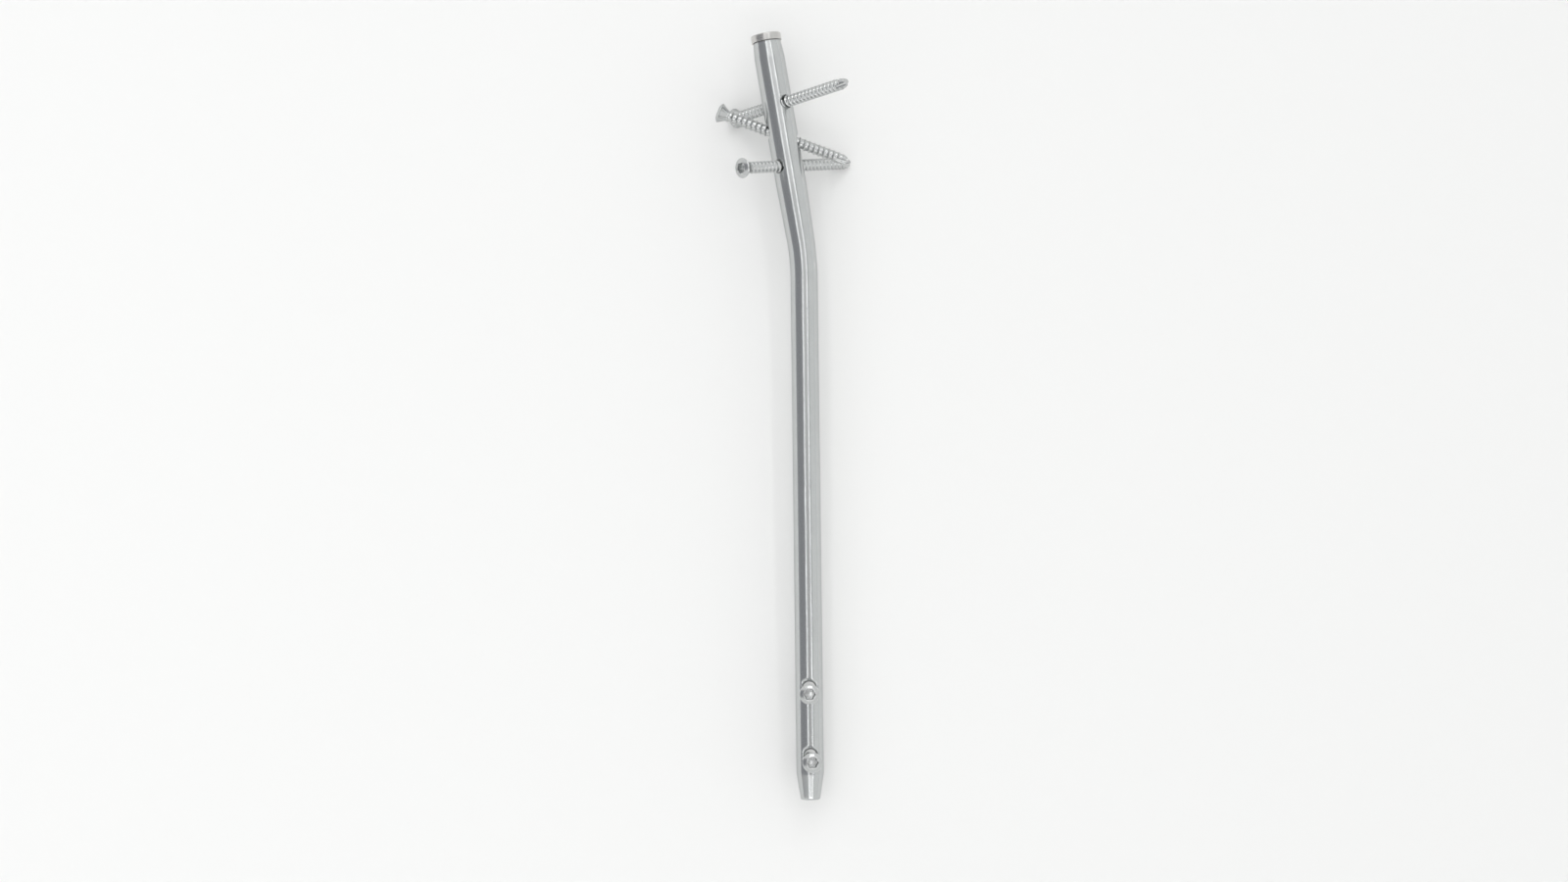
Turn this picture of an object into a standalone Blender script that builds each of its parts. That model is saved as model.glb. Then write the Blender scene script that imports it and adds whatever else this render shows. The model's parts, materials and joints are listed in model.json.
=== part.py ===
"""Humeral intramedullary nail with its end cap and five locking screws.

The nail is a bent, cannulated rod of titanium alloy. Three long screws cross its proximal leg in
three directions, and two short ones cross its distal end through short slots. Every screw has a
right-hand bone thread, a self-tapping tip with cutting flutes and a domed head with a six-lobed
socket. Two right-angled frames are used: the nail's own, with its origin at the corner of the bend,
+Y up the distal leg and +Z towards the heads of the distal screws, and the world, in which the
assembly lies on its back on the three lowest points of its screws.
"""
import math

import bmesh
import bpy
from mathutils import Matrix, Vector

# Nail body, with lengths along its axis
PROXIMAL_LENGTH = 0.0725
DISTAL_LENGTH = 0.1780
BEND_ANGLE = math.radians(9.0)
BEND_RADIUS = 0.090
PROXIMAL_DIAMETER = 0.0100
DISTAL_DIAMETER = 0.0090
COLLAR_DIAMETER = 0.0091
COLLAR_TAPER_LENGTH = 0.0052
COLLAR_EDGE = 0.0003
SHAFT_TAPER_START = 0.0476
SHAFT_TAPER_LENGTH = 0.0220
TIP_DIAMETER = 0.00635
TIP_TAPER_LENGTH = 0.0088
TIP_ROUNDING = 0.0006
CANNULATION_DIAMETER = 0.0030

# Clearances between pieces that fit each other
SCREW_CLEARANCE = 0.0003
CAP_CLEARANCE = 0.0003

# End cap
CAP_DIAMETER = 0.0100
CAP_HEIGHT = 0.0023
CAP_EDGE_RADIUS = 0.0004
CAP_STEM_DIAMETER = 0.0062
CAP_STEM_LENGTH = 0.0085
CAP_STEM_CHAMFER = 0.0006
CAP_UNDERCUT_DEPTH = 0.0004
CAP_UNDERCUT_LENGTH = 0.0012
CAP_BORE_EXTRA_DEPTH = 0.0020
CAP_BORE_CHAMFER = 0.0004

# Locking screws
THREAD_DIAMETER = 0.0040
CORE_DIAMETER = 0.0032
THREAD_PITCH = 0.0017
ROOT_FLAT = 0.0008
HEAD_DIAMETER = 0.0066
HEAD_FACE_DIAMETER = 0.0040
HEAD_DOME_RADIUS = 0.0052
HEAD_BAND_HEIGHT = 0.0002
HEAD_CONE_HEIGHT = 0.0025
NECK_DIAMETER = 0.0035
NECK_LENGTH = 0.0003
NECK_STEP = 0.0002
RUN_OUT_LENGTH = 0.0012
SCREW_TIP_LENGTH = 0.0021
SCREW_TIP_DIAMETER = 0.0022
SCREW_TIP_ROUNDING = 0.0004
FLUTE_COUNT = 3
FLUTE_DIAMETER = 0.0016
FLUTE_LENGTH = 0.0036
FLUTE_OFFSET = 0.0017
FLUTE_SLOPE = math.radians(9.0)

# Six-lobed driver socket, the same in the screws and the cap
SOCKET_DIAMETER = 0.0036
SOCKET_LOBE_DEPTH = 0.00045
SOCKET_DEPTH = 0.0019
SOCKET_CONE_DEPTH = 0.0004
SOCKET_LOBES = 6

# Holes for the screws
LEAD_IN_DEPTH = 0.0010
LEAD_IN_ANGLE = math.radians(20.0)
SLOT_TRAVEL = 0.0016

# Places of the proximal screws: distance from the nail's top face to where each one crosses
UPPER_CROSSING = 0.0210
OBLIQUE_CROSSING = 0.0318
LOWER_CROSSING = 0.0416
UPPER_AZIMUTH = math.radians(44.2)
OBLIQUE_AZIMUTH = math.radians(90.0)
LOWER_AZIMUTH = math.radians(133.4)
OBLIQUE_DESCENT = math.radians(30.5)

# Places of the distal screws: distance from the nail's tip face
DISTAL_UPPER_CROSSING = 0.0351
DISTAL_LOWER_CROSSING = 0.0130
DISTAL_UPPER_AZIMUTH = math.radians(180.0)
DISTAL_LOWER_AZIMUTH = math.radians(183.5)

# Reach of each screw from the nail's axis to the top of its head and to its tip
UPPER_HEAD_REACH = 0.0212
UPPER_TIP_REACH = 0.0322
OBLIQUE_HEAD_REACH = 0.0231
OBLIQUE_TIP_REACH = 0.0224
LOWER_HEAD_REACH = 0.0216
LOWER_TIP_REACH = 0.0284
DISTAL_HEAD_REACH = 0.0123
DISTAL_TIP_REACH = 0.0120

# Fineness of the facets
NAIL_SIDES = 24
BORE_SIDES = 12
FLUTE_SIDES = 6
TURNED_SIDES = 16
THREAD_STEPS = 9
ARC_STEPS = 2
LOBE_STEPS = 4
BEND_STEPS = 6
STRAIGHT_STEP = 0.030
MERGE = 0.000001
SMOOTH_ANGLE = math.radians(35.0)

# Base colour and roughness of the metals
NAIL_FINISH = ((0.60, 0.61, 0.63), 0.20)
CAP_FINISH = ((0.66, 0.67, 0.68), 0.28)
SCREW_FINISH = ((0.64, 0.65, 0.66), 0.26)

# How far a cutter runs past the surface that it cuts, and a trimming envelope past the thread
OVERRUN = 0.002
ENVELOPE_MARGIN = 0.00015

BEND_TANGENT = BEND_RADIUS * math.tan(BEND_ANGLE / 2)
BEND_START = PROXIMAL_LENGTH - BEND_TANGENT
BEND_END = BEND_START + BEND_RADIUS * BEND_ANGLE
NAIL_LENGTH = BEND_END + DISTAL_LENGTH - BEND_TANGENT
HEAD_FACE_ANGLE = math.asin(HEAD_FACE_DIAMETER / 2 / HEAD_DOME_RADIUS)
HEAD_RIM_ANGLE = math.asin(HEAD_DIAMETER / 2 / HEAD_DOME_RADIUS)
HEAD_DOME_HEIGHT = HEAD_DOME_RADIUS * (math.cos(HEAD_FACE_ANGLE) - math.cos(HEAD_RIM_ANGLE))
HEAD_HEIGHT = HEAD_DOME_HEIGHT + HEAD_BAND_HEIGHT + HEAD_CONE_HEIGHT
HOLE_RADIUS = THREAD_DIAMETER / 2 + SCREW_CLEARANCE
CAP_BORE_RADIUS = CAP_STEM_DIAMETER / 2 + CAP_CLEARANCE
CAP_BORE_DEPTH = CAP_STEM_LENGTH - CAP_CLEARANCE + CAP_BORE_EXTRA_DEPTH

VIEWER = Vector((0, 0, 1))
DISTAL_AXIS = Vector((0, 1, 0))
PROXIMAL_AXIS = Vector((-math.sin(BEND_ANGLE), math.cos(BEND_ANGLE), 0))


def clear_scene():
    for item in list(bpy.data.objects):
        bpy.data.objects.remove(item, do_unlink=True)


def new_collection(name):
    collection = bpy.data.collections.new(name)
    bpy.context.scene.collection.children.link(collection)
    return collection


def new_object(name, mesh, collection, parent, place=None):
    item = bpy.data.objects.new(name, mesh)
    collection.objects.link(item)
    item.parent = parent
    if place is not None:
        item.matrix_local = place
    return item


def mark_as_cutter(item):
    item.hide_render = True
    item.display_type = "WIRE"


def metal(name, colour, roughness):
    """A bare metal finish for one piece."""
    material = bpy.data.materials.new(name)
    material.use_nodes = True
    shader = material.node_tree.nodes["Principled BSDF"]
    shader.inputs["Base Color"].default_value = (*colour, 1)
    shader.inputs["Metallic"].default_value = 1
    shader.inputs["Roughness"].default_value = roughness
    return material


def arc(centre, radius, first, last, steps):
    """Points of (radius, height) along a circular arc, first and last angle included."""
    points = []
    for step in range(steps + 1):
        angle = first + (last - first) * step / steps
        points.append((centre[0] + radius * math.cos(angle), centre[1] + radius * math.sin(angle)))
    return points


def line_mesh(name, points):
    """An open profile of (radius, height) points in the XZ plane."""
    mesh = bpy.data.meshes.new(name)
    edges = [(index, index + 1) for index in range(len(points) - 1)]
    mesh.from_pydata([(radius, 0, height) for radius, height in points], edges, [])
    return mesh


def turned(name, profile, sides, collection, parent, place=None):
    """A solid of revolution about local Z from a profile that runs from the top down."""
    item = new_object(name, line_mesh(name, profile), collection, parent, place)
    screw = item.modifiers.new("Turn", "SCREW")
    screw.steps = sides
    screw.render_steps = sides
    screw.use_merge_vertices = True
    screw.merge_threshold = MERGE
    return item


def boolean(item, cutter, operation, solver="EXACT"):
    modifier = item.modifiers.new(cutter.name, "BOOLEAN")
    modifier.operation = operation
    modifier.solver = solver
    modifier.object = cutter


def evaluated_mesh(item):
    bpy.context.view_layer.update()
    graph = bpy.context.evaluated_depsgraph_get()
    return bpy.data.meshes.new_from_object(item.evaluated_get(graph))


def tube_mesh(name, points, radii, sides):
    """A closed mesh along a smooth run of points, with a radius of its own at each."""
    curve = bpy.data.curves.new(name, "CURVE")
    curve.dimensions = "3D"
    curve.bevel_depth = 1
    curve.bevel_resolution = (sides - 4) // 2
    curve.use_fill_caps = True
    spline = curve.splines.new("POLY")
    spline.points.add(len(points) - 1)
    for target, point, radius in zip(spline.points, points, radii):
        target.co = (*point, 1)
        target.radius = radius
    item = bpy.data.objects.new(name, curve)
    bpy.context.scene.collection.objects.link(item)
    mesh = evaluated_mesh(item)
    bpy.data.objects.remove(item, do_unlink=True)
    welded = bmesh.new()
    welded.from_mesh(mesh)
    bmesh.ops.remove_doubles(welded, verts=welded.verts, dist=MERGE)
    bmesh.ops.recalc_face_normals(welded, faces=welded.faces)
    welded.to_mesh(mesh)
    welded.free()
    mesh.name = name
    return mesh


def axis_point(distance):
    """The nail's axis at a distance from its top face, negative or past the tip if need be."""
    if distance <= BEND_START:
        return PROXIMAL_AXIS * (PROXIMAL_LENGTH - distance)
    if distance >= BEND_END:
        return DISTAL_AXIS * (NAIL_LENGTH - DISTAL_LENGTH - distance)
    turned_by = (distance - BEND_START) / BEND_RADIUS
    outward = PROXIMAL_AXIS.cross(VIEWER)
    centre = PROXIMAL_AXIS * BEND_TANGENT - outward * BEND_RADIUS
    return centre + Matrix.Rotation(-turned_by, 3, VIEWER) @ (outward * BEND_RADIUS)


def between(distance, start, length, first, last):
    """A value that runs evenly from first to last over a length."""
    share = min(max((distance - start) / length, 0), 1)
    return first + (last - first) * share


def nail_radius(distance):
    """The nail's outer radius at a distance from its top face."""
    tip_start = NAIL_LENGTH - TIP_TAPER_LENGTH
    if distance < COLLAR_TAPER_LENGTH:
        radius = between(distance, 0, COLLAR_TAPER_LENGTH, COLLAR_DIAMETER, PROXIMAL_DIAMETER) / 2
    elif distance < tip_start:
        radius = between(distance, SHAFT_TAPER_START, SHAFT_TAPER_LENGTH,
                         PROXIMAL_DIAMETER, DISTAL_DIAMETER) / 2
    else:
        radius = between(distance, tip_start, TIP_TAPER_LENGTH, DISTAL_DIAMETER, TIP_DIAMETER) / 2
    into_collar = max(COLLAR_EDGE - distance, 0)
    into_tip = max(distance - NAIL_LENGTH + TIP_ROUNDING, 0)
    return radius - into_collar - TIP_ROUNDING + math.sqrt(TIP_ROUNDING ** 2 - into_tip ** 2)


def bend_stations():
    """Distances from the top face of the points along the bend."""
    length = BEND_END - BEND_START
    return [BEND_START + length * step / BEND_STEPS for step in range(BEND_STEPS + 1)]


def nail_stations():
    """Distances from the top face at which the nail's outline turns, and some between."""
    stations = [0, COLLAR_EDGE, COLLAR_TAPER_LENGTH, SHAFT_TAPER_START,
                SHAFT_TAPER_START + SHAFT_TAPER_LENGTH, NAIL_LENGTH - TIP_TAPER_LENGTH]
    stations += bend_stations()
    for step in range(ARC_STEPS + 1):
        angle = math.pi / 2 * step / ARC_STEPS
        stations.append(NAIL_LENGTH - TIP_ROUNDING * (1 - math.sin(angle)))
    stations.sort()
    filled = [stations[0]]
    for station in stations[1:]:
        gap = station - filled[-1]
        if gap < MERGE:
            continue
        pieces = math.ceil(gap / STRAIGHT_STEP)
        start = filled[-1]
        filled.extend(start + gap * piece / pieces for piece in range(1, pieces + 1))
    return filled


def crossing_place(leg_axis, centre, azimuth, descent):
    """The frame of a screw: its origin on the nail's axis and +Z up the screw to its head.

    An azimuth of 0 points the tip at the viewer and a quarter turn points it to the right. The
    descent is how far the tip dips below square to the nail.
    """
    sideways = leg_axis.cross(VIEWER)
    square = VIEWER * math.cos(azimuth) + sideways * math.sin(azimuth)
    to_tip = square * math.cos(descent) - leg_axis * math.sin(descent)
    to_head = -to_tip
    across = leg_axis.cross(to_head).normalized()
    along = to_head.cross(across)
    frame = Matrix((across, along, to_head)).transposed().to_4x4()
    return Matrix.Translation(centre) @ frame


def proximal_place(crossing, azimuth, descent=0.0):
    centre = PROXIMAL_AXIS * (PROXIMAL_LENGTH - crossing)
    return crossing_place(PROXIMAL_AXIS, centre, azimuth, descent)


def distal_place(crossing, azimuth):
    centre = DISTAL_AXIS * (crossing - DISTAL_LENGTH)
    return crossing_place(DISTAL_AXIS, centre, azimuth, 0.0)


def hole_cutter(name, place, mouth, travel, collection, parent):
    """A bore that widens towards both of its mouths, drawn out along the nail if it travels.

    The mouth is the distance from the nail's axis at which the bore leaves the nail.
    """
    widening = math.tan(LEAD_IN_ANGLE) * (LEAD_IN_DEPTH + OVERRUN)
    end = mouth + OVERRUN
    start = mouth - LEAD_IN_DEPTH
    stations = [(end, widening), (start, 0.0), (-start, 0.0), (-end, widening)]
    shape = bmesh.new()
    rings = []
    for height, wider in stations:
        ring = []
        for step in range(TURNED_SIDES):
            angle = 2 * math.pi * (step + 0.5) / TURNED_SIDES
            shift = travel / 2 * math.copysign(1, math.sin(angle))
            radius = HOLE_RADIUS + wider
            corner = (radius * math.cos(angle), radius * math.sin(angle) + shift, height)
            ring.append(shape.verts.new(corner))
        rings.append(ring)
    for upper, lower in zip(rings, rings[1:]):
        for step in range(TURNED_SIDES):
            after = (step + 1) % TURNED_SIDES
            shape.faces.new((upper[step], upper[after], lower[after], lower[step]))
    shape.faces.new(rings[0])
    shape.faces.new(rings[-1])
    bmesh.ops.recalc_face_normals(shape, faces=shape.faces)
    mesh = bpy.data.meshes.new(name)
    shape.to_mesh(mesh)
    shape.free()
    cutter = new_object(name, mesh, collection, parent, place)
    mark_as_cutter(cutter)
    return cutter


def make_nail(holes, parts, cutters, frame):
    """The bent rod with its cannulation, the cap's bore and a hole for each screw.

    The exact solver leaves a skin across the cannulation where a slot crosses it, so the manifold
    solver cuts the nail.
    """
    stations = nail_stations()
    points = [axis_point(station) for station in stations]
    radii = [nail_radius(station) for station in stations]
    nail = new_object("nail", tube_mesh("nail", points, radii, NAIL_SIDES), parts, frame)

    ends = [-OVERRUN] + bend_stations() + [NAIL_LENGTH + OVERRUN]
    channel = tube_mesh("cannulation", [axis_point(end) for end in ends],
                        [CANNULATION_DIAMETER / 2] * len(ends), BORE_SIDES)
    cannulation = new_object("cannulation", channel, cutters, frame)
    mark_as_cutter(cannulation)
    boolean(nail, cannulation, "DIFFERENCE", "MANIFOLD")

    mouth = CAP_BORE_RADIUS + CAP_BORE_CHAMFER
    bore_profile = [
        (0, OVERRUN),
        (mouth, OVERRUN),
        (mouth, 0),
        (CAP_BORE_RADIUS, -CAP_BORE_CHAMFER),
        (CAP_BORE_RADIUS, -CAP_BORE_DEPTH),
        (0, -CAP_BORE_DEPTH - CAP_BORE_RADIUS / 2),
    ]
    bore = turned("cap_bore", bore_profile, TURNED_SIDES, cutters, frame, cap_place())
    mark_as_cutter(bore)
    boolean(nail, bore, "DIFFERENCE", "MANIFOLD")

    for name, place, distance, descent, travel in holes:
        mouth = nail_radius(distance) / math.cos(descent)
        hole = hole_cutter(name, place, mouth, travel, cutters, frame)
        boolean(nail, hole, "DIFFERENCE", "MANIFOLD")
    return nail


def cap_place():
    """The nail's top face, with +Z out of the nail."""
    turn = VIEWER.rotation_difference(PROXIMAL_AXIS).to_matrix().to_4x4()
    return Matrix.Translation(axis_point(0)) @ turn


def socket_cutter(name, face_height, collection, parent):
    """The six-lobed driver socket, open at a face of the given height on the parent's axis."""
    mean = (SOCKET_DIAMETER - SOCKET_LOBE_DEPTH) / 2
    corners = SOCKET_LOBES * LOBE_STEPS
    shape = bmesh.new()
    outline = []
    for step in range(corners):
        angle = 2 * math.pi * step / corners
        radius = mean + SOCKET_LOBE_DEPTH / 2 * math.cos(SOCKET_LOBES * angle)
        corner = (radius * math.cos(angle), radius * math.sin(angle), face_height + OVERRUN)
        outline.append(shape.verts.new(corner))
    top = shape.faces.new(outline)
    wall = bmesh.ops.extrude_face_region(shape, geom=[top])["geom"]
    floor = [part for part in wall if isinstance(part, bmesh.types.BMVert)]
    bmesh.ops.translate(shape, verts=floor, vec=(0, 0, -OVERRUN - SOCKET_DEPTH))
    floor_face = next(part for part in wall if isinstance(part, bmesh.types.BMFace))
    point = bmesh.ops.poke(shape, faces=[floor_face])["verts"]
    bmesh.ops.translate(shape, verts=point, vec=(0, 0, -SOCKET_CONE_DEPTH))
    bmesh.ops.recalc_face_normals(shape, faces=shape.faces)
    mesh = bpy.data.meshes.new(name)
    shape.to_mesh(mesh)
    shape.free()
    cutter = new_object(name, mesh, collection, parent)
    mark_as_cutter(cutter)
    return cutter


def make_end_cap(parts, cutters, frame):
    """The cap that closes the nail's top: a flange, an undercut and a stem in the nail's bore."""
    flange = CAP_DIAMETER / 2
    stem = CAP_STEM_DIAMETER / 2
    seat = CAP_CLEARANCE
    top = seat + CAP_HEIGHT
    stem_end = seat - CAP_STEM_LENGTH
    profile = [(0, top)]
    profile += arc((flange - CAP_EDGE_RADIUS, top - CAP_EDGE_RADIUS), CAP_EDGE_RADIUS,
                   math.pi / 2, 0, ARC_STEPS)
    profile += [
        (flange, seat),
        (stem - CAP_UNDERCUT_DEPTH, seat),
        (stem - CAP_UNDERCUT_DEPTH, seat - CAP_UNDERCUT_LENGTH),
        (stem, seat - CAP_UNDERCUT_LENGTH - CAP_UNDERCUT_DEPTH),
        (stem, stem_end + CAP_STEM_CHAMFER),
        (stem - CAP_STEM_CHAMFER, stem_end),
        (0, stem_end),
    ]
    cap = turned("end_cap", profile, NAIL_SIDES, parts, frame, cap_place())
    boolean(cap, socket_cutter("cap_socket", top, cutters, cap), "DIFFERENCE")
    return cap


def close_end(shape, edges, centre):
    """A fan of faces from an open end of the thread to a point on its axis."""
    point = shape.verts.new(centre)
    for edge in edges:
        shape.faces.new((*edge.verts, point))


def thread_mesh(name, bottom, top):
    """A threaded rod about local Z that covers the heights from bottom to top.

    One tooth is swept along the helix, the turns are welded where they meet, and the two ends are
    fanned to the axis. Both ends lie past the heights asked for and are trimmed later.
    """
    root = CORE_DIAMETER / 2
    crest = THREAD_DIAMETER / 2
    flank = (THREAD_PITCH - ROOT_FLAT) / 2
    tooth = [
        (root, THREAD_PITCH),
        (crest, THREAD_PITCH - flank),
        (root, ROOT_FLAT),
        (root, 0),
    ]
    turns = math.ceil((top - bottom) / THREAD_PITCH) + 2
    start = bottom - THREAD_PITCH
    rod = bpy.data.objects.new(name, line_mesh(name, [(x, z + start) for x, z in tooth]))
    bpy.context.scene.collection.objects.link(rod)
    screw = rod.modifiers.new("Thread", "SCREW")
    screw.screw_offset = THREAD_PITCH
    screw.iterations = turns
    screw.steps = THREAD_STEPS
    screw.render_steps = THREAD_STEPS
    mesh = evaluated_mesh(rod)
    bpy.data.objects.remove(rod, do_unlink=True)
    shape = bmesh.new()
    shape.from_mesh(mesh)
    bmesh.ops.remove_doubles(shape, verts=shape.verts, dist=MERGE)
    low = start + THREAD_PITCH / 2
    high = low + turns * THREAD_PITCH
    middle = (low + high) / 2
    open_edges = [edge for edge in shape.edges if edge.is_boundary]
    lower = [edge for edge in open_edges if edge.verts[0].co.z < middle]
    upper = [edge for edge in open_edges if edge.verts[0].co.z >= middle]
    close_end(shape, lower, (0, 0, low))
    close_end(shape, upper, (0, 0, high))
    bmesh.ops.recalc_face_normals(shape, faces=shape.faces)
    shape.to_mesh(mesh)
    shape.free()
    return mesh


def make_screw(name, place, head_reach, tip_reach, parts, cutters, frame):
    """A locking screw: a trimmed thread joined to a turned head, with a socket and flutes."""
    crest = THREAD_DIAMETER / 2
    neck = NECK_DIAMETER / 2
    seat = head_reach - HEAD_HEIGHT
    thread_top = seat - NECK_LENGTH
    tip = -tip_reach
    tip_end = SCREW_TIP_DIAMETER / 2

    screw = new_object(name, thread_mesh(name, tip, seat), parts, frame, place)
    envelope_profile = [
        (0, seat),
        (neck - NECK_STEP, seat),
        (neck - NECK_STEP, thread_top),
        (crest + ENVELOPE_MARGIN, thread_top - RUN_OUT_LENGTH),
        (crest + ENVELOPE_MARGIN, tip + SCREW_TIP_LENGTH),
        (tip_end + SCREW_TIP_ROUNDING, tip + SCREW_TIP_ROUNDING),
        (tip_end, tip),
        (0, tip),
    ]
    envelope = turned(name + "_envelope", envelope_profile, TURNED_SIDES, cutters, screw)
    mark_as_cutter(envelope)
    boolean(screw, envelope, "INTERSECT")

    ball_centre = head_reach - HEAD_DOME_RADIUS * math.cos(HEAD_FACE_ANGLE)
    head_profile = [(0, head_reach)]
    head_profile += arc((0, ball_centre), HEAD_DOME_RADIUS, math.pi / 2 - HEAD_FACE_ANGLE,
                        math.pi / 2 - HEAD_RIM_ANGLE, ARC_STEPS)
    head_profile += [
        (HEAD_DIAMETER / 2, head_reach - HEAD_DOME_HEIGHT - HEAD_BAND_HEIGHT),
        (neck, seat),
        (neck, thread_top),
        (0, thread_top),
    ]
    head = turned(name + "_head", head_profile, TURNED_SIDES, cutters, screw)
    mark_as_cutter(head)
    boolean(screw, head, "UNION")

    boolean(screw, socket_cutter(name + "_socket", head_reach, cutters, screw), "DIFFERENCE")
    for index in range(FLUTE_COUNT):
        flute = flute_cutter(f"{name}_flute_{index + 1}", tip, index, cutters, screw)
        boolean(screw, flute, "DIFFERENCE")
    return screw


def flute_cutter(name, tip, index, collection, parent):
    """A round-bottomed cutting flute beside the tip, which runs out up the thread."""
    shape = bmesh.new()
    radius = FLUTE_DIAMETER / 2
    length = FLUTE_LENGTH + OVERRUN
    bmesh.ops.create_cone(shape, cap_ends=True, segments=FLUTE_SIDES, radius1=radius,
                          radius2=radius, depth=length)
    lean = Matrix.Rotation(-FLUTE_SLOPE, 4, "X")
    out = Matrix.Translation((0, FLUTE_OFFSET, tip - OVERRUN + length / 2))
    around = Matrix.Rotation(2 * math.pi * index / FLUTE_COUNT, 4, "Z")
    bmesh.ops.transform(shape, matrix=around @ out @ lean, verts=shape.verts)
    mesh = bpy.data.meshes.new(name)
    shape.to_mesh(mesh)
    shape.free()
    cutter = new_object(name, mesh, collection, parent)
    mark_as_cutter(cutter)
    return cutter


def world_mesh(item):
    """The finished mesh of a piece in the world, as a bmesh of triangles."""
    mesh = evaluated_mesh(item)
    shape = bmesh.new()
    shape.from_mesh(mesh)
    shape.transform(item.matrix_world)
    bmesh.ops.triangulate(shape, faces=shape.faces)
    bpy.data.meshes.remove(mesh)
    return shape


def balance(items):
    """All corner points of the pieces and the point at which they balance."""
    points = []
    volume = 0.0
    moment = Vector()
    for item in items:
        shape = world_mesh(item)
        points.extend(vert.co.copy() for vert in shape.verts)
        for face in shape.faces:
            first, second, third = (vert.co for vert in face.verts)
            part = first.dot(second.cross(third)) / 6
            volume += part
            moment += (first + second + third) / 4 * part
        shape.free()
    return points, moment / volume


def is_over(face, centre):
    """Whether a point, dropped square onto a face's plane, lands inside the face."""
    foot = centre - face.normal * (centre - face.verts[0].co).dot(face.normal)
    corners = [vert.co for vert in face.verts]
    for start, end in zip(corners, corners[1:] + corners[:1]):
        if (end - start).cross(foot - start).dot(face.normal) < 0:
            return False
    return True


def lay_to_rest(frame, items):
    """Turns the assembly onto the face of its hull that it rests on, nearest to its back.

    The origin then lies under the middle of its box, on the surface that it rests on.
    """
    points, centre = balance(items)
    hull = bmesh.new()
    for point in points:
        hull.verts.new(point)
    bmesh.ops.convex_hull(hull, input=hull.verts)
    hull.normal_update()
    faces = sorted(hull.faces, key=lambda face: face.normal.z)
    under = next(face for face in faces if is_over(face, centre))
    turn = under.normal.rotation_difference(-VIEWER).to_matrix()
    turned_points = [turn @ point for point in points]
    hull.free()
    lowest = [min(point[axis] for point in turned_points) for axis in range(3)]
    highest = [max(point[axis] for point in turned_points) for axis in range(3)]
    middle = Vector(((lowest[0] + highest[0]) / 2, (lowest[1] + highest[1]) / 2, lowest[2]))
    frame.matrix_world = Matrix.Translation(-middle) @ turn.to_4x4()
    bpy.context.view_layer.update()


def finish(item, colour, roughness):
    item.data.materials.append(metal(item.name + "_titanium", colour, roughness))
    for polygon in item.data.polygons:
        polygon.use_smooth = True
    item.data.set_sharp_from_angle(angle=SMOOTH_ANGLE)


def main():
    clear_scene()
    parts = new_collection("intramedullary_nail")
    cutters = new_collection("cutters")
    frame = bpy.data.objects.new("rest_frame", None)
    bpy.context.scene.collection.objects.link(frame)

    proximal = [
        ("proximal_screw_upper", UPPER_CROSSING, UPPER_AZIMUTH, 0.0,
         UPPER_HEAD_REACH, UPPER_TIP_REACH),
        ("proximal_screw_oblique", OBLIQUE_CROSSING, OBLIQUE_AZIMUTH, OBLIQUE_DESCENT,
         OBLIQUE_HEAD_REACH, OBLIQUE_TIP_REACH),
        ("proximal_screw_lower", LOWER_CROSSING, LOWER_AZIMUTH, 0.0,
         LOWER_HEAD_REACH, LOWER_TIP_REACH),
    ]
    distal = [
        ("distal_screw_upper", DISTAL_UPPER_CROSSING, DISTAL_UPPER_AZIMUTH),
        ("distal_screw_lower", DISTAL_LOWER_CROSSING, DISTAL_LOWER_AZIMUTH),
    ]
    pieces = []
    holes = []
    for name, crossing, azimuth, descent, head_reach, tip_reach in proximal:
        place = proximal_place(crossing, azimuth, descent)
        pieces.append(make_screw(name, place, head_reach, tip_reach, parts, cutters, frame))
        holes.append((name + "_hole", place, crossing, descent, 0.0))
    for name, crossing, azimuth in distal:
        place = distal_place(crossing, azimuth)
        pieces.append(make_screw(name, place, DISTAL_HEAD_REACH, DISTAL_TIP_REACH,
                                 parts, cutters, frame))
        slot = Matrix.Translation(DISTAL_AXIS * SLOT_TRAVEL / 2) @ place
        holes.append((name + "_slot", slot, NAIL_LENGTH - crossing, 0.0, SLOT_TRAVEL))
    for screw in pieces:
        finish(screw, *SCREW_FINISH)
    nail = make_nail(holes, parts, cutters, frame)
    finish(nail, *NAIL_FINISH)
    cap = make_end_cap(parts, cutters, frame)
    finish(cap, *CAP_FINISH)
    lay_to_rest(frame, [*pieces, nail, cap])


main()
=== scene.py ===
"""Looks of a humeral intramedullary nail with its end cap and its five locking screws.

Each piece is made at the size and place of the solid that it stands for. The nail is turned and cut
as a straight bar, with its bores, screw holes and slots, and a node tree then bends it. A second
node tree sweeps the bone thread of the screws, which get a turned head, a six-lobed socket and
cutting flutes. The metals are titanium alloy, polished lengthwise on the nail and turned elsewhere.

Lengths are in metres and angles in radians, except where a comment says degrees.
"""
import json
import math

import bmesh
import bpy
from mathutils import Matrix, Vector


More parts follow.
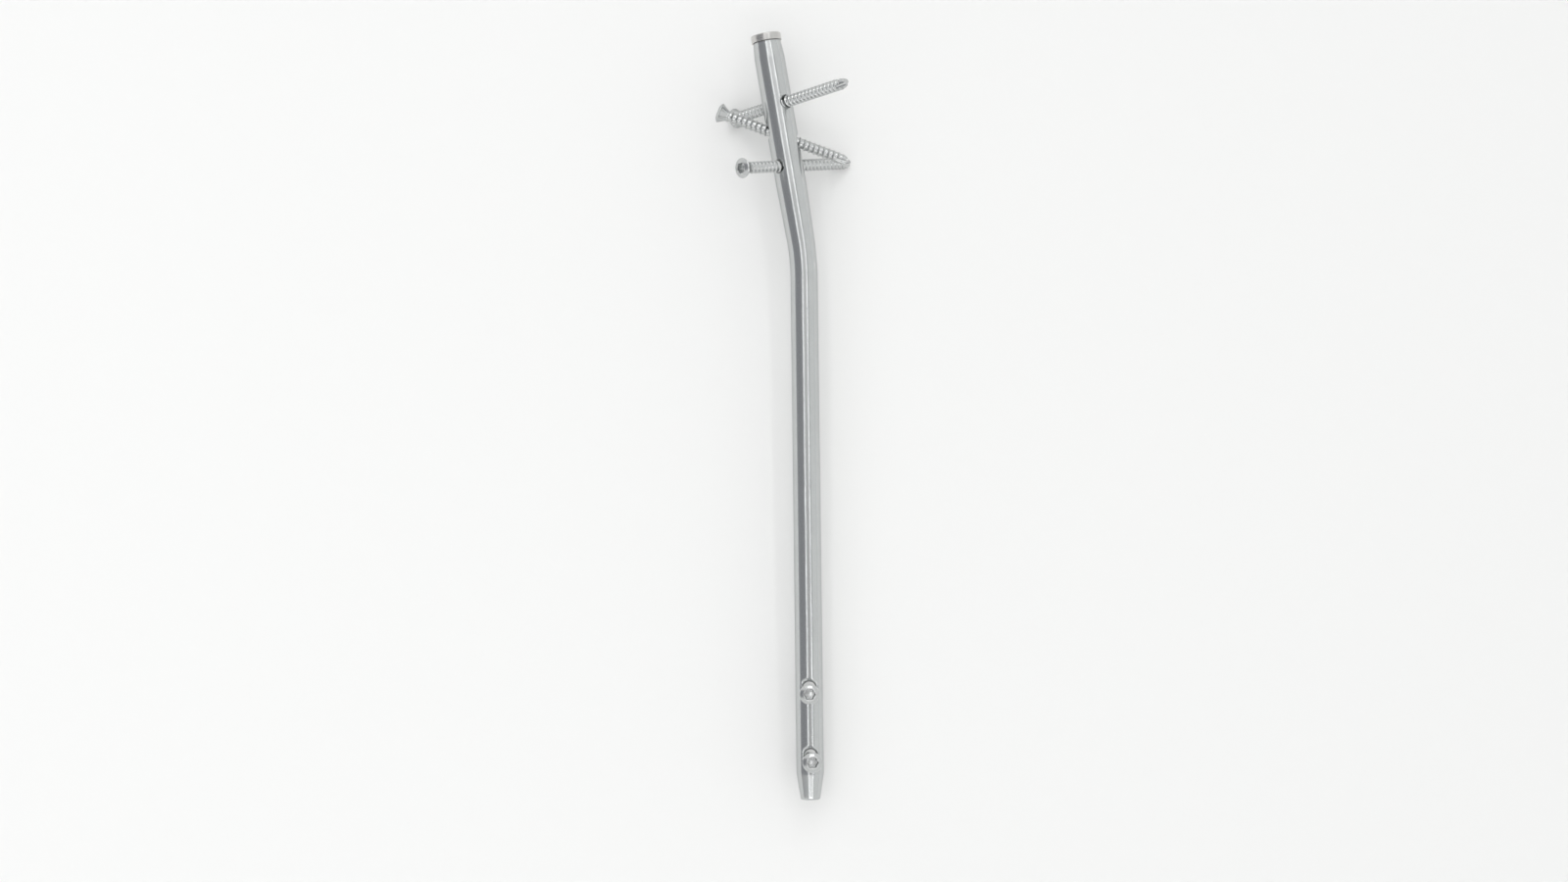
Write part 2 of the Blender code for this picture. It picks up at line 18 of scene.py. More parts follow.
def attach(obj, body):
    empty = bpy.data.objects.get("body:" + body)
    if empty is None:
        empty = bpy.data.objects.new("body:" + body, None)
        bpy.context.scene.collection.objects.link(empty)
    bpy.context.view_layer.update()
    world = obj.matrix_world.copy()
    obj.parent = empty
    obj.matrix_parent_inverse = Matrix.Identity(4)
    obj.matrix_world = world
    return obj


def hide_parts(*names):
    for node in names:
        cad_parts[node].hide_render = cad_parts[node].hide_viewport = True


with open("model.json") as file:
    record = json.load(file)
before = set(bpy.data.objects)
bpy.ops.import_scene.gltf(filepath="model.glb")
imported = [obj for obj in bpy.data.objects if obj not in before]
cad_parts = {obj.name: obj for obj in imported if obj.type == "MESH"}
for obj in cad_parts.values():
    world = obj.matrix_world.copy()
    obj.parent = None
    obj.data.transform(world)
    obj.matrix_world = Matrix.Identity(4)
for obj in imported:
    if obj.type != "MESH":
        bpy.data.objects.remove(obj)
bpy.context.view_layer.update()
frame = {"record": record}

# Nail body, with lengths along its axis
PROXIMAL_LENGTH = 0.0725
DISTAL_LENGTH = 0.1780
BEND_ANGLE = math.radians(9.0)
BEND_RADIUS = 0.090
PROXIMAL_DIAMETER = 0.0100
DISTAL_DIAMETER = 0.0090
COLLAR_DIAMETER = 0.0091
COLLAR_TAPER_LENGTH = 0.0052
COLLAR_EDGE = 0.0001
SHAFT_TAPER_START = 0.0476
SHAFT_TAPER_LENGTH = 0.0220
TIP_DIAMETER = 0.00635
TIP_TAPER_LENGTH = 0.0088
TIP_ROUNDING = 0.0006
CANNULATION_DIAMETER = 0.0030

# End cap and its bore, with the seam that is left to see between cap and nail
CAP_CLEARANCE = 0.0003
CAP_SEAM = 0.00012
CAP_DIAMETER = 0.0100
CAP_HEIGHT = 0.0023
CAP_EDGE_RADIUS = 0.0004
CAP_UNDER_EDGE_RADIUS = 0.0001
CAP_STEM_DIAMETER = 0.0062
CAP_STEM_LENGTH = 0.0085
CAP_STEM_CHAMFER = 0.0006
CAP_UNDERCUT_DEPTH = 0.0004
CAP_UNDERCUT_LENGTH = 0.0012
CAP_BORE_EXTRA_DEPTH = 0.0020
CAP_BORE_CHAMFER = 0.0004

# Locking screws. A tooth's width is taken at half its height.
THREAD_DIAMETER = 0.0040
CORE_DIAMETER = 0.0032
THREAD_PITCH = 0.0017
TOOTH_WIDTH = 0.00027
ROOT_HOLLOW_RADIUS = 0.0025
HEAD_DIAMETER = 0.0066
HEAD_FACE_DIAMETER = 0.0040
HEAD_DOME_RADIUS = 0.0052
HEAD_BAND_HEIGHT = 0.0002
HEAD_BAND_END = math.radians(-60.0)
HEAD_CONE_HEIGHT = 0.0025
HEAD_CONE_HOLLOW = 1.15
NECK_DIAMETER = 0.0035
NECK_LENGTH = 0.0001
RUN_OUT_LENGTH = 0.0007
ROOT_RISE_LENGTH = 0.0006
SCREW_TIP_LENGTH = 0.0021
SCREW_TIP_DIAMETER = 0.0022
SCREW_TIP_ROUNDING = 0.0004
FLUTE_COUNT = 3
FLUTE_DIAMETER = 0.0016
FLUTE_LENGTH = 0.0036
FLUTE_OFFSET = 0.0017
FLUTE_SLOPE = math.radians(9.0)

# Six-lobed driver socket, the same in the screws and the cap
SOCKET_DIAMETER = 0.0036
SOCKET_LOBE_DEPTH = 0.00034
SOCKET_DEPTH = 0.0019
SOCKET_DIMPLE_DIAMETER = 0.0011
SOCKET_DIMPLE_DEPTH = 0.00012
SOCKET_ROUNDING = 0.0003
SOCKET_LEAST_RADIUS = 0.000075
SOCKET_LOBES = 6

# Screw holes. Their mouths are rounded for a share of the whole turn and then flare out straight,
# by so many radii of the rounding.
SCREW_CLEARANCE = 0.00006
HOLE_LIP = 0.00055
LIP_SHARE = 0.8
LIP_FLARE = 0.9
HOLE_THREAD_PITCH = 0.0009
HOLE_THREAD_DEPTH = 0.00022
HOLE_THREAD_INSET = 0.0007
HOLE_TOOTH_WIDTH = 0.00036

# Slots, with the rounding of their mouths beside the nail's axis and along it. Each mouth has a
# narrow facet: how far it faces to the left and to the right, and its least and most tilt.
SLOT_TRAVEL = 0.0016
SLOT_LIP_BESIDE = 0.0004
SLOT_LIP_ALONG = 0.0012
SLOT_FACET_WIDTH = 0.00028
SLOT_FACET_SHARE = 0.7
SLOT_FACET_TURNS = (math.radians(-6.6), math.radians(12.0))
SLOT_FACET_TILTS = (math.radians(6.0), math.radians(24.0))

# Places of the proximal screws: distance from the nail's top face to where each one crosses
UPPER_CROSSING = 0.0210
OBLIQUE_CROSSING = 0.0318
LOWER_CROSSING = 0.0416
UPPER_AZIMUTH = math.radians(44.2)
OBLIQUE_AZIMUTH = math.radians(90.0)
LOWER_AZIMUTH = math.radians(133.4)
OBLIQUE_DESCENT = math.radians(30.5)

# Places of the distal screws: distance from the nail's tip face
DISTAL_UPPER_CROSSING = 0.0351
DISTAL_LOWER_CROSSING = 0.0130
DISTAL_UPPER_AZIMUTH = math.radians(180.0)
DISTAL_LOWER_AZIMUTH = math.radians(183.5)

# Reach of each screw from the nail's axis to the top of its head and to its tip
UPPER_HEAD_REACH = 0.0212
UPPER_TIP_REACH = 0.0322
OBLIQUE_HEAD_REACH = 0.0231
OBLIQUE_TIP_REACH = 0.0224
LOWER_HEAD_REACH = 0.0216
LOWER_TIP_REACH = 0.0284
DISTAL_HEAD_REACH = 0.0123
DISTAL_TIP_REACH = 0.0120

# Each screw's name, crossing, azimuth, descent, head reach and tip reach
PROXIMAL_SCREWS = [
    ("upper", UPPER_CROSSING, UPPER_AZIMUTH, 0.0, UPPER_HEAD_REACH, UPPER_TIP_REACH),
    ("oblique", OBLIQUE_CROSSING, OBLIQUE_AZIMUTH, OBLIQUE_DESCENT, OBLIQUE_HEAD_REACH,
     OBLIQUE_TIP_REACH),
    ("lower", LOWER_CROSSING, LOWER_AZIMUTH, 0.0, LOWER_HEAD_REACH, LOWER_TIP_REACH),
]
DISTAL_SCREWS = [
    ("upper", DISTAL_UPPER_CROSSING, DISTAL_UPPER_AZIMUTH, 0.0, DISTAL_HEAD_REACH,
     DISTAL_TIP_REACH),
    ("lower", DISTAL_LOWER_CROSSING, DISTAL_LOWER_AZIMUTH, 0.0, DISTAL_HEAD_REACH,
     DISTAL_TIP_REACH),
]

# Fineness of the meshes
NAIL_SIDES = 144
NAIL_STEP = 0.0008
BORE_SIDES = 64
BORE_STEP = 0.0016
MOUTH_SIDES = 96
SCREW_SIDES = 48
THREAD_ROWS = 28
HOLE_THREAD_ROWS = 10
LOBE_STEPS = 12
ARC_STEPS = 8
HEAD_CONE_STEPS = 16
FLUTE_SIDES = 32
MERGE = 0.000001
OVERRUN = 0.002
SMOOTH_ANGLE = math.radians(32.0)

# The metals. Grain sizes are in metres, and a roughness goes from the cleanest to the most marked.
# The lighter colour at edges is worn metal with a painted highlight on it
NAIL_LOOK = {
    "grain": "polish",
    "grain_values": {"Line Width": 0.00018, "Line Length": 0.012},
    "grain_depth": 0.03,
    "colour": (0.587, 0.601, 0.602),
    "wear_and_highlight_colour": (0.71, 0.72, 0.72),
    "roughness": (0.17, 0.24),
    "edge_tint": 0.7,
}
CAP_LOOK = {
    "grain": "turning",
    "grain_values": {"Ring Width": 0.00012},
    "grain_depth": 0.06,
    "colour": (0.62, 0.61, 0.595),
    "wear_and_highlight_colour": (0.73, 0.72, 0.71),
    "roughness": (0.26, 0.32),
    "edge_tint": 1.0,
}
SCREW_LOOK = {
    "grain": "turning",
    "grain_values": {"Ring Width": 0.00010},
    "grain_depth": 0.05,
    "colour": (0.60, 0.61, 0.61),
    "wear_and_highlight_colour": (0.70, 0.71, 0.71),
    "roughness": (0.17, 0.24),
    "edge_tint": 0.55,
}
GRAIN_RANGE = (0.35, 0.65)
RING_WANDER = 0.02
SMUDGE_SIZE = 0.006
SMUDGE_RANGE = (0.38, 0.68)
SMUDGE_STRENGTH = 0.5
SMUDGE_DARKENING = 0.94
# Pointiness over which edges turn to the lighter colour: worn metal and a painted highlight
WEAR_AND_HIGHLIGHT_RANGE = (0.53, 0.62)
RUBBED_SMOOTHING = 0.04

# The studio that the metal mirrors. Angles are in degrees, to the right round the nail's axis and
# along it towards the cap, both from the viewer. A frame of light tubes hangs round the camera, with
# a dark screen on its left.
WALL_LIGHT = (0.86, 0.87, 0.86)
WALL_LEFT = (0.80, 0.81, 0.815)
WALL_DARK = (0.332, 0.336, 0.352)
WALL_BANDS = [
    (-180.0, WALL_LEFT),
    (-86.0, WALL_LEFT),
    (-78.0, WALL_DARK),
    (31.0, WALL_DARK),
    (38.0, WALL_LIGHT),
    (170.0, WALL_LIGHT),
    (180.0, WALL_LEFT),
]
FULL_TURN = 360.0
SCREEN_TOP = (19.0, 29.0)
SCREEN_FOOT = (-29.0, -14.0)
TUBE_FRAME_MIDDLE = (5.5, 6.75)
TUBE_FRAME_HALF = (18.5, 34.25)
TUBE_HALF_WIDTH = 1.6
TUBE_BLUR = 1.6
TUBE_BRIGHTNESS = 2.6
CROSS_TUBE_BRIGHTNESS = 3.8
TOP_PANEL = (41.0, 57.0)

# Brightness inside the frame, as pairs of an angle along the nail and a level: the general rise
# and the share that is left of it further up
INSIDE_FRAME = ((0.0, 0.54), (20.0, 1.34))
INSIDE_TOP = ((20.0, 1.0), (27.0, 0.35))

# Floor and the softbox over it
FLOOR_HALF_SIZE = 3.0
FLOOR_COLOUR = (0.865, 0.865, 0.86)
FLOOR_ROUGHNESS = 0.9
FLOOR_SHEEN = 0.1
SOFTBOX_SIZE = 1.2
SOFTBOX_PLACE = (-0.55, 0.0, 1.1)
SOFTBOX_BRIGHTNESS = 0.76

# Camera, in the nail's own frame, with its lens and sensor in millimetres. It is pitched until the
# point straight under it lies the given number of pixels off the middle of the picture.
CAMERA_PLACE = Vector((-0.0076, -0.0874, 0.903))
CAMERA_ROLL = 0.0121
CAMERA_LENS = 63.0
SENSOR_WIDTH = 36.0
PICTURE_WIDTH = 1600
FOOT_POINT_OFFSET = 84
CAMERA_PITCH = math.atan(FOOT_POINT_OFFSET / (CAMERA_LENS / SENSOR_WIDTH * PICTURE_WIDTH))

BEND_TANGENT = BEND_RADIUS * math.tan(BEND_ANGLE / 2)
BEND_START = PROXIMAL_LENGTH - BEND_TANGENT
BEND_END = BEND_START + BEND_RADIUS * BEND_ANGLE
NAIL_LENGTH = BEND_END + DISTAL_LENGTH - BEND_TANGENT
HEAD_FACE_ANGLE = math.asin(HEAD_FACE_DIAMETER / 2 / HEAD_DOME_RADIUS)
HEAD_RIM_ANGLE = math.asin(HEAD_DIAMETER / 2 / HEAD_DOME_RADIUS)
HEAD_DOME_HEIGHT = HEAD_DOME_RADIUS * (math.cos(HEAD_FACE_ANGLE) - math.cos(HEAD_RIM_ANGLE))
HEAD_HEIGHT = HEAD_DOME_HEIGHT + HEAD_BAND_HEIGHT + HEAD_CONE_HEIGHT
HOLE_RADIUS = THREAD_DIAMETER / 2 + SCREW_CLEARANCE
CAP_BORE_RADIUS = CAP_STEM_DIAMETER / 2 + CAP_CLEARANCE
CAP_BORE_DEPTH = CAP_STEM_LENGTH - CAP_CLEARANCE + CAP_BORE_EXTRA_DEPTH

# The nail's own frame has +Z to the viewer and +Y up the distal leg, a hole's has +Z along it
VIEWER = Vector((0, 0, 1))
DISTAL_AXIS = Vector((0, 1, 0))
PROXIMAL_AXIS = Vector((-math.sin(BEND_ANGLE), math.cos(BEND_ANGLE), 0))
HOLE_AXIS = Vector((0, 0, 1))


# Node trees


# Makes a bell fall to half its height half a width from its middle
BELL_FALL = -4 * math.log(2)
GEOMETRY = ("Geometry", "NodeSocketGeometry")
MATERIAL = ("Material", "NodeSocketMaterial")
PLACE = ("Place", "NodeSocketVector")
OWN_PLACE = "own_place"


class Term:
    """A value in a node tree that takes part in sums, so that its maths reads as a formula."""

    def __init__(self, tree, socket):
        self.tree = tree
        self.socket = socket

    def maths(self, operation, *others):
        values = dict(enumerate((self, *others)))
        node = add_node(self.tree, "ShaderNodeMath", values, operation=operation)
        return Term(self.tree, node.outputs[0])

    def __add__(self, other):
        return self.maths("ADD", other)

    def __sub__(self, other):
        return self.maths("SUBTRACT", other)

    def __mul__(self, other):
        return self.maths("MULTIPLY", other)

    def __truediv__(self, other):
        return self.maths("DIVIDE", other)

    def ramp(self, low, high, first, last, interpolation_type="SMOOTHSTEP"):
        """Goes from first, where this value is at low, to last, where it is at high."""
        values = {0: self, 1: low, 2: high, 3: first, 4: last}
        node = add_node(self.tree, "ShaderNodeMapRange", values,
                        interpolation_type=interpolation_type)
        return Term(self.tree, node.outputs[0])


def feed(tree, value, socket):
    """Links a term or a socket to an input, or sets the input to a plain value."""
    if isinstance(value, Term):
        value = value.socket
    if isinstance(value, bpy.types.NodeSocket):
        tree.links.new(value, socket)
    else:
        socket.default_value = value


def add_node(tree, kind, values=None, **settings):
    """A new node with its settings, and with its inputs fed by name or number."""
    node = tree.nodes.new(kind)
    for name, value in settings.items():
        setattr(node, name, value)
    for key, value in (values or {}).items():
        feed(tree, value, node.inputs[key])
    return node


def new_tree(name, kind, inputs, outputs):
    """A node tree with named sockets; gives the tree, its input terms and its output node."""
    tree = bpy.data.node_groups.new(name, kind)
    for label, socket_type in inputs:
        tree.interface.new_socket(name=label, in_out="INPUT", socket_type=socket_type)
    for label, socket_type in outputs:
        tree.interface.new_socket(name=label, in_out="OUTPUT", socket_type=socket_type)
    entry = tree.nodes.new("NodeGroupInput")
    given = {label: Term(tree, entry.outputs[label]) for label, _ in inputs}
    return tree, given, tree.nodes.new("NodeGroupOutput")


def close_geometry_tree(tree, geometry, material, output):
    """Ends a geometry tree with real faces in the piece's material."""
    real = add_node(tree, "GeometryNodeRealizeInstances", {"Geometry": geometry})
    finished = add_node(tree, "GeometryNodeSetMaterial",
                        {"Geometry": real.outputs["Geometry"], "Material": material})
    feed(tree, finished.outputs["Geometry"], output.inputs["Geometry"])


def numbers(*labels):
    """Sockets for numbers, by their labels."""
    return [(label, "NodeSocketFloat") for label in labels]


def whole_numbers(*labels):
    """Sockets for whole numbers, by their labels."""
    return [(label, "NodeSocketInt") for label in labels]


def bend_tree():
    """Bends a straight bar that hangs down from its top face, about an axis beside it.

    Up to the bend's start the bar is turned by the whole angle, past its end it stays straight.
    """
    inputs = [GEOMETRY] + numbers("Start", "Radius", "Angle", "Corner") + [MATERIAL]
    tree, given, output = new_tree("bend_bar", "GeometryNodeTree", inputs, [GEOMETRY])
    position = add_node(tree, "GeometryNodeInputPosition").outputs[0]
    parts = add_node(tree, "ShaderNodeSeparateXYZ", {0: position}).outputs
    x, y, z = (Term(tree, part) for part in parts)
    radius = given["Radius"]
    arc_length = radius * given["Angle"]
    above_end = y + given["Start"] + arc_length
    along_arc = above_end.maths("MAXIMUM", 0).maths("MINIMUM", arc_length)
    turned_by = along_arc / radius
    straight = above_end - along_arc
    outward = x + radius
    sine = turned_by.maths("SINE")
    cosine = turned_by.maths("COSINE")
    bent_x = outward * cosine - straight * sine - radius
    bent_y = outward * sine + straight * cosine - given["Corner"]
    place = add_node(tree, "ShaderNodeCombineXYZ", {0: bent_x, 1: bent_y, 2: z})
    bent = add_node(tree, "GeometryNodeSetPosition",
                    {"Geometry": given["Geometry"], "Position": place.outputs[0]})
    close_geometry_tree(tree, bent.outputs[0], given["Material"], output)
    return tree


def thread_tree():
    """Sweeps a bone thread about Z as one skin, open at both ends.

    The columns of a grid follow the helix and its rows the tooth, so that the crest is one smooth
    line. The root is a shallow hollow, and the tooth a bell whose width is given at half height.
    Heights past an end are held at it, where the radius is the same all round, and the points
    that then coincide are merged.
    """
    inputs = numbers("Bottom", "Top", "Pitch", "Core Radius", "Crest Radius", "Tooth Width",
                     "Root Hollow Radius", "Tip Radius", "Tip Length", "Neck Radius", "Run Out",
                     "Root Rise", "Merge Distance")
    inputs += whole_numbers("Turns", "Sides", "Rows") + [MATERIAL]
    tree, given, output = new_tree("bone_thread", "GeometryNodeTree", [GEOMETRY] + inputs,
                                   [GEOMETRY])
    bottom, top, pitch = given["Bottom"], given["Top"], given["Pitch"]
    crest, core = given["Crest Radius"], given["Core Radius"]
    sides, rows = given["Sides"], given["Rows"]
    grid = add_node(tree, "GeometryNodeMeshGrid",
                    {"Vertices X": sides * given["Turns"] + 1, "Vertices Y": rows + 1})
    index = Term(tree, add_node(tree, "GeometryNodeInputIndex").outputs[0])
    # Half an index more keeps a point in its column when the division is rounded
    column = ((index + 0.5) / (rows + 1)).maths("FLOOR")
    across_tooth = (index - column * (rows + 1)) / rows
    angle = column.maths("FLOORED_MODULO", sides) * (2 * math.pi) / sides
    height = bottom + pitch * (column / sides + across_tooth - 1)
    height = height.maths("MAXIMUM", bottom).maths("MINIMUM", top)

    from_crest = (across_tooth - 0.5).maths("ABSOLUTE") * pitch
    from_root = pitch / 2 - from_crest
    root = core + from_root * from_root / (given["Root Hollow Radius"] * 2)
    widths_out = from_crest / given["Tooth Width"]
    bell = (widths_out * widths_out * BELL_FALL).maths("EXPONENT")
    tooth = root + (crest - root) * bell
    up_tip = (height - bottom).ramp(0, given["Tip Length"], 0, math.pi / 2, "LINEAR")
    tip_limit = given["Tip Radius"] + (crest - given["Tip Radius"]) * up_tip.maths("SINE")
    below_top = top - height
    neck = given["Neck Radius"]
    neck_limit = below_top.ramp(0, given["Run Out"], neck, crest)
    root_rise = below_top.ramp(0, given["Root Rise"], neck, core)
    radius = tooth.maths("MINIMUM", tip_limit).maths("MINIMUM", neck_limit)
    radius = radius.maths("MAXIMUM", root_rise.maths("MINIMUM", tip_limit))

    place = add_node(tree, "ShaderNodeCombineXYZ",
                     {0: radius * angle.maths("COSINE"), 1: radius * angle.maths("SINE"),
                      2: height})
    swept = add_node(tree, "GeometryNodeSetPosition",
                     {"Geometry": grid.outputs["Mesh"], "Position": place.outputs[0]})
    merged = add_node(tree, "GeometryNodeMergeByDistance",
                      {"Geometry": swept.outputs[0], "Distance": given["Merge Distance"]})
    close_geometry_tree(tree, merged.outputs[0], given["Material"], output)
    return tree


# Meshes


def new_object(name, mesh):
    """An object in the scene, at the origin."""
    item = bpy.data.objects.new(name, mesh)
    bpy.context.scene.collection.objects.link(item)
    return item


def evaluated_mesh(item):
    """The item's mesh with its modifiers applied; the item is then removed."""
    bpy.context.view_layer.update()
    graph = bpy.context.evaluated_depsgraph_get()
    mesh = bpy.data.meshes.new_from_object(item.evaluated_get(graph),
                                           preserve_all_data_layers=True, depsgraph=graph)
    bpy.data.objects.remove(item, do_unlink=True)
    return mesh


def tree_mesh(name, tree, mesh, values):
    """Runs a geometry tree on a mesh, with its inputs set by name."""
    item = new_object(name, mesh)
    modifier = item.modifiers.new(name, "NODES")
    modifier.node_group = tree
    for socket in tree.interface.items_tree:
        if socket.in_out == "INPUT" and socket.name in values:
            modifier[socket.identifier] = values[socket.name]
    return evaluated_mesh(item)


def arc(centre, radius, first, last):
    """Points of (radius, height) along a circular arc, first and last angle included."""
    points = []
    for step in range(ARC_STEPS + 1):
        angle = first + (last - first) * step / ARC_STEPS
        points.append((centre[0] + radius * math.cos(angle), centre[1] + radius * math.sin(angle)))
    return points


def turned(name, profile, sides):
    """A solid of revolution about Z from a profile of (radius, height) that runs from the top down."""
    mesh = bpy.data.meshes.new(name)
    edges = [(index, index + 1) for index in range(len(profile) - 1)]
    mesh.from_pydata([(radius, 0, height) for radius, height in profile], edges, [])
    item = new_object(name, mesh)
    screw = item.modifiers.new("turn", "SCREW")
    screw.steps = sides
    screw.render_steps = sides
    screw.use_merge_vertices = True
    screw.merge_threshold = MERGE
    return evaluated_mesh(item)


def loft(name, rings):
    """A closed skin over rings of equally many points, with flat ends."""
    shape = bmesh.new()
    corners = [[shape.verts.new(point) for point in ring] for ring in rings]
    for upper, lower in zip(corners, corners[1:]):
        for step in range(len(upper)):
            after = (step + 1) % len(upper)
            shape.faces.new((upper[step], upper[after], lower[after], lower[step]))
    shape.faces.new(corners[0])
    shape.faces.new(corners[-1])
    return finished_mesh(name, shape)


def joined(name, meshes):
    """Several meshes as one, welded where they meet."""
    shape = bmesh.new()
    for mesh in meshes:
        shape.from_mesh(mesh)
    bmesh.ops.remove_doubles(shape, verts=shape.verts, dist=MERGE)
    return finished_mesh(name, shape)


def finished_mesh(name, shape):
    """A mesh whose faces point outwards, from a shape that is then freed."""
    bmesh.ops.recalc_face_normals(shape, faces=shape.faces)
    mesh = bpy.data.meshes.new(name)
    shape.to_mesh(mesh)
    shape.free()
    return mesh


def cut(name, mesh, cutters):
    """Takes the cutters out of a mesh. The manifold solver keeps a slot across a bore open."""
    body = new_object(name, mesh)
    tools = []
    for index, cutter in enumerate(cutters):
        tool = new_object(f"{name}_cutter_{index}", cutter)
        modifier = body.modifiers.new(tool.name, "BOOLEAN")
        modifier.operation = "DIFFERENCE"
        modifier.solver = "MANIFOLD"
        modifier.object = tool
        tools.append(tool)
    result = evaluated_mesh(body)
    for tool in tools:
        bpy.data.objects.remove(tool, do_unlink=True)
    return result


def keep_own_place(mesh):
    """Stores each point's place on the unplaced piece, which the grain of its metal follows."""
    places = [0.0] * (3 * len(mesh.vertices))
    mesh.vertices.foreach_get("co", places)
    own = mesh.attributes.new(OWN_PLACE, "FLOAT_VECTOR", "POINT")
    own.data.foreach_set("vector", places)


# The nail's frame and the places of the screws


def mount(name):
    """A mount of the part, by its name."""
    return next(entry for entry in frame["record"]["mounts"] if entry["name"] == name)


def nail_frame():
    """The nail's own frame, from the two mounts on its ends.

    Its origin is the corner of the bend, +Y runs up the distal leg and +Z to the viewer. The tip's
    mount lies towards the viewer, halfway between the cannulation and the rounded edge.
    """
    up = -Vector(mount("tip_face")["axis"]).normalized()
    to_cap = Vector(mount("cap_face")["axis"]).normalized()
    viewer = up.cross(to_cap).normalized()
    offset = (TIP_DIAMETER / 2 - TIP_ROUNDING + CANNULATION_DIAMETER / 2) / 2
    tip_centre = Vector(mount("tip_face")["pos_m"]) - viewer * offset
    turn = Matrix((up.cross(viewer), up, viewer)).transposed().to_4x4()
    return Matrix.Translation(tip_centre + up * DISTAL_LENGTH) @ turn


def crossing_place(leg_axis, centre, azimuth, descent):
    """The frame of a screw: its origin on the nail's axis and +Z up the screw to its head.

    An azimuth of 0 points the tip at the viewer and a quarter turn points it to the right. The
    descent is how far the tip dips below square to the nail.
    """
    sideways = leg_axis.cross(VIEWER)
    square = VIEWER * math.cos(azimuth) + sideways * math.sin(azimuth)
    to_tip = square * math.cos(descent) - leg_axis * math.sin(descent)
    to_head = -to_tip
    across = leg_axis.cross(to_head).normalized()
    along = to_head.cross(across)
    return Matrix.Translation(centre) @ Matrix((across, along, to_head)).transposed().to_4x4()


def straight_bar_place(distance, azimuth, descent):
    """A crossing on the straight bar, whose top face is at the origin."""
    return crossing_place(DISTAL_AXIS, -DISTAL_AXIS * distance, azimuth, descent)


# The nail


def between(distance, start, length, first, last):
    """A value that runs evenly from first to last over a length."""
    share = min(max((distance - start) / length, 0), 1)
    return first + (last - first) * share


def nail_radius(distance):
    """The nail's outer radius at a distance from its top face, with bevelled and rounded ends."""
    tip_start = NAIL_LENGTH - TIP_TAPER_LENGTH
    if distance < COLLAR_TAPER_LENGTH:
        radius = between(distance, 0, COLLAR_TAPER_LENGTH, COLLAR_DIAMETER, PROXIMAL_DIAMETER) / 2
    elif distance < tip_start:
        radius = between(distance, SHAFT_TAPER_START, SHAFT_TAPER_LENGTH,
                         PROXIMAL_DIAMETER, DISTAL_DIAMETER) / 2
    else:
        radius = between(distance, tip_start, TIP_TAPER_LENGTH, DISTAL_DIAMETER, TIP_DIAMETER) / 2
    into_collar = max(COLLAR_EDGE - distance, 0)
    into_tip = min(max(distance - NAIL_LENGTH + TIP_ROUNDING, 0), TIP_ROUNDING)
    return radius - into_collar - TIP_ROUNDING + math.sqrt(TIP_ROUNDING ** 2 - into_tip ** 2)


def nail_stations():
    """Distances from the top face at which the nail's outline has a ring of points."""
    turning_points = [0, COLLAR_EDGE, COLLAR_TAPER_LENGTH, SHAFT_TAPER_START,
                      SHAFT_TAPER_START + SHAFT_TAPER_LENGTH, NAIL_LENGTH - TIP_TAPER_LENGTH,
                      NAIL_LENGTH - TIP_ROUNDING]
    stations = [0]
    for start, end in zip(turning_points, turning_points[1:]):
        pieces = math.ceil((end - start) / NAIL_STEP)
        stations.extend(start + (end - start) * piece / pieces for piece in range(1, pieces + 1))
    for step in range(1, ARC_STEPS + 1):
        angle = math.pi / 2 * step / ARC_STEPS
        stations.append(NAIL_LENGTH - TIP_ROUNDING * (1 - math.sin(angle)))
    return stations


def along_bar(mesh):
    """Turns a piece that was turned about Z onto the straight bar's axis."""
    mesh.transform(Matrix.Rotation(-math.pi / 2, 4, "X"))
    return mesh


def mouth_lip(angle, lip_beside, lip_along):
    """The radius of a hole mouth's rounding at an angle round the hole."""
    return lip_beside + (lip_along - lip_beside) * math.sin(angle) ** 2


def facet_tilt(start, outward, nail_surface):
    """The tilt of the facet round a slot at one point.

    It turns the facet towards the middle of the slot until it faces as far to the left or to the
    right as is given, within the least and most tilt.
    """
    across = start.x / nail_surface
    surface = Vector((across, 0, math.sqrt(1 - across ** 2)))
    inward = (surface * outward.dot(surface) - outward).normalized()
    to_left, to_right = SLOT_FACET_TURNS
    facing = math.tan(to_right if start.x > 0 else to_left)
    missing = facing * surface.z - surface.x
    turn = math.atan(missing / (inward.x - facing * inward.z))
    low, high = SLOT_FACET_TILTS
    return min(max(turn, low), high)


def ball_centre(turn, start, side, reach):
    """The point up or down a hole from a start where it is at the given reach from the bar's axis."""
    flat = turn @ start
    rise = turn @ HOLE_AXIS
    squared = rise.x ** 2 + rise.z ** 2
    half = flat.x * rise.x + flat.z * rise.z
    rest = flat.x ** 2 + flat.z ** 2 - reach ** 2
    return start + HOLE_AXIS * (-half + side * math.sqrt(half ** 2 - squared * rest)) / squared


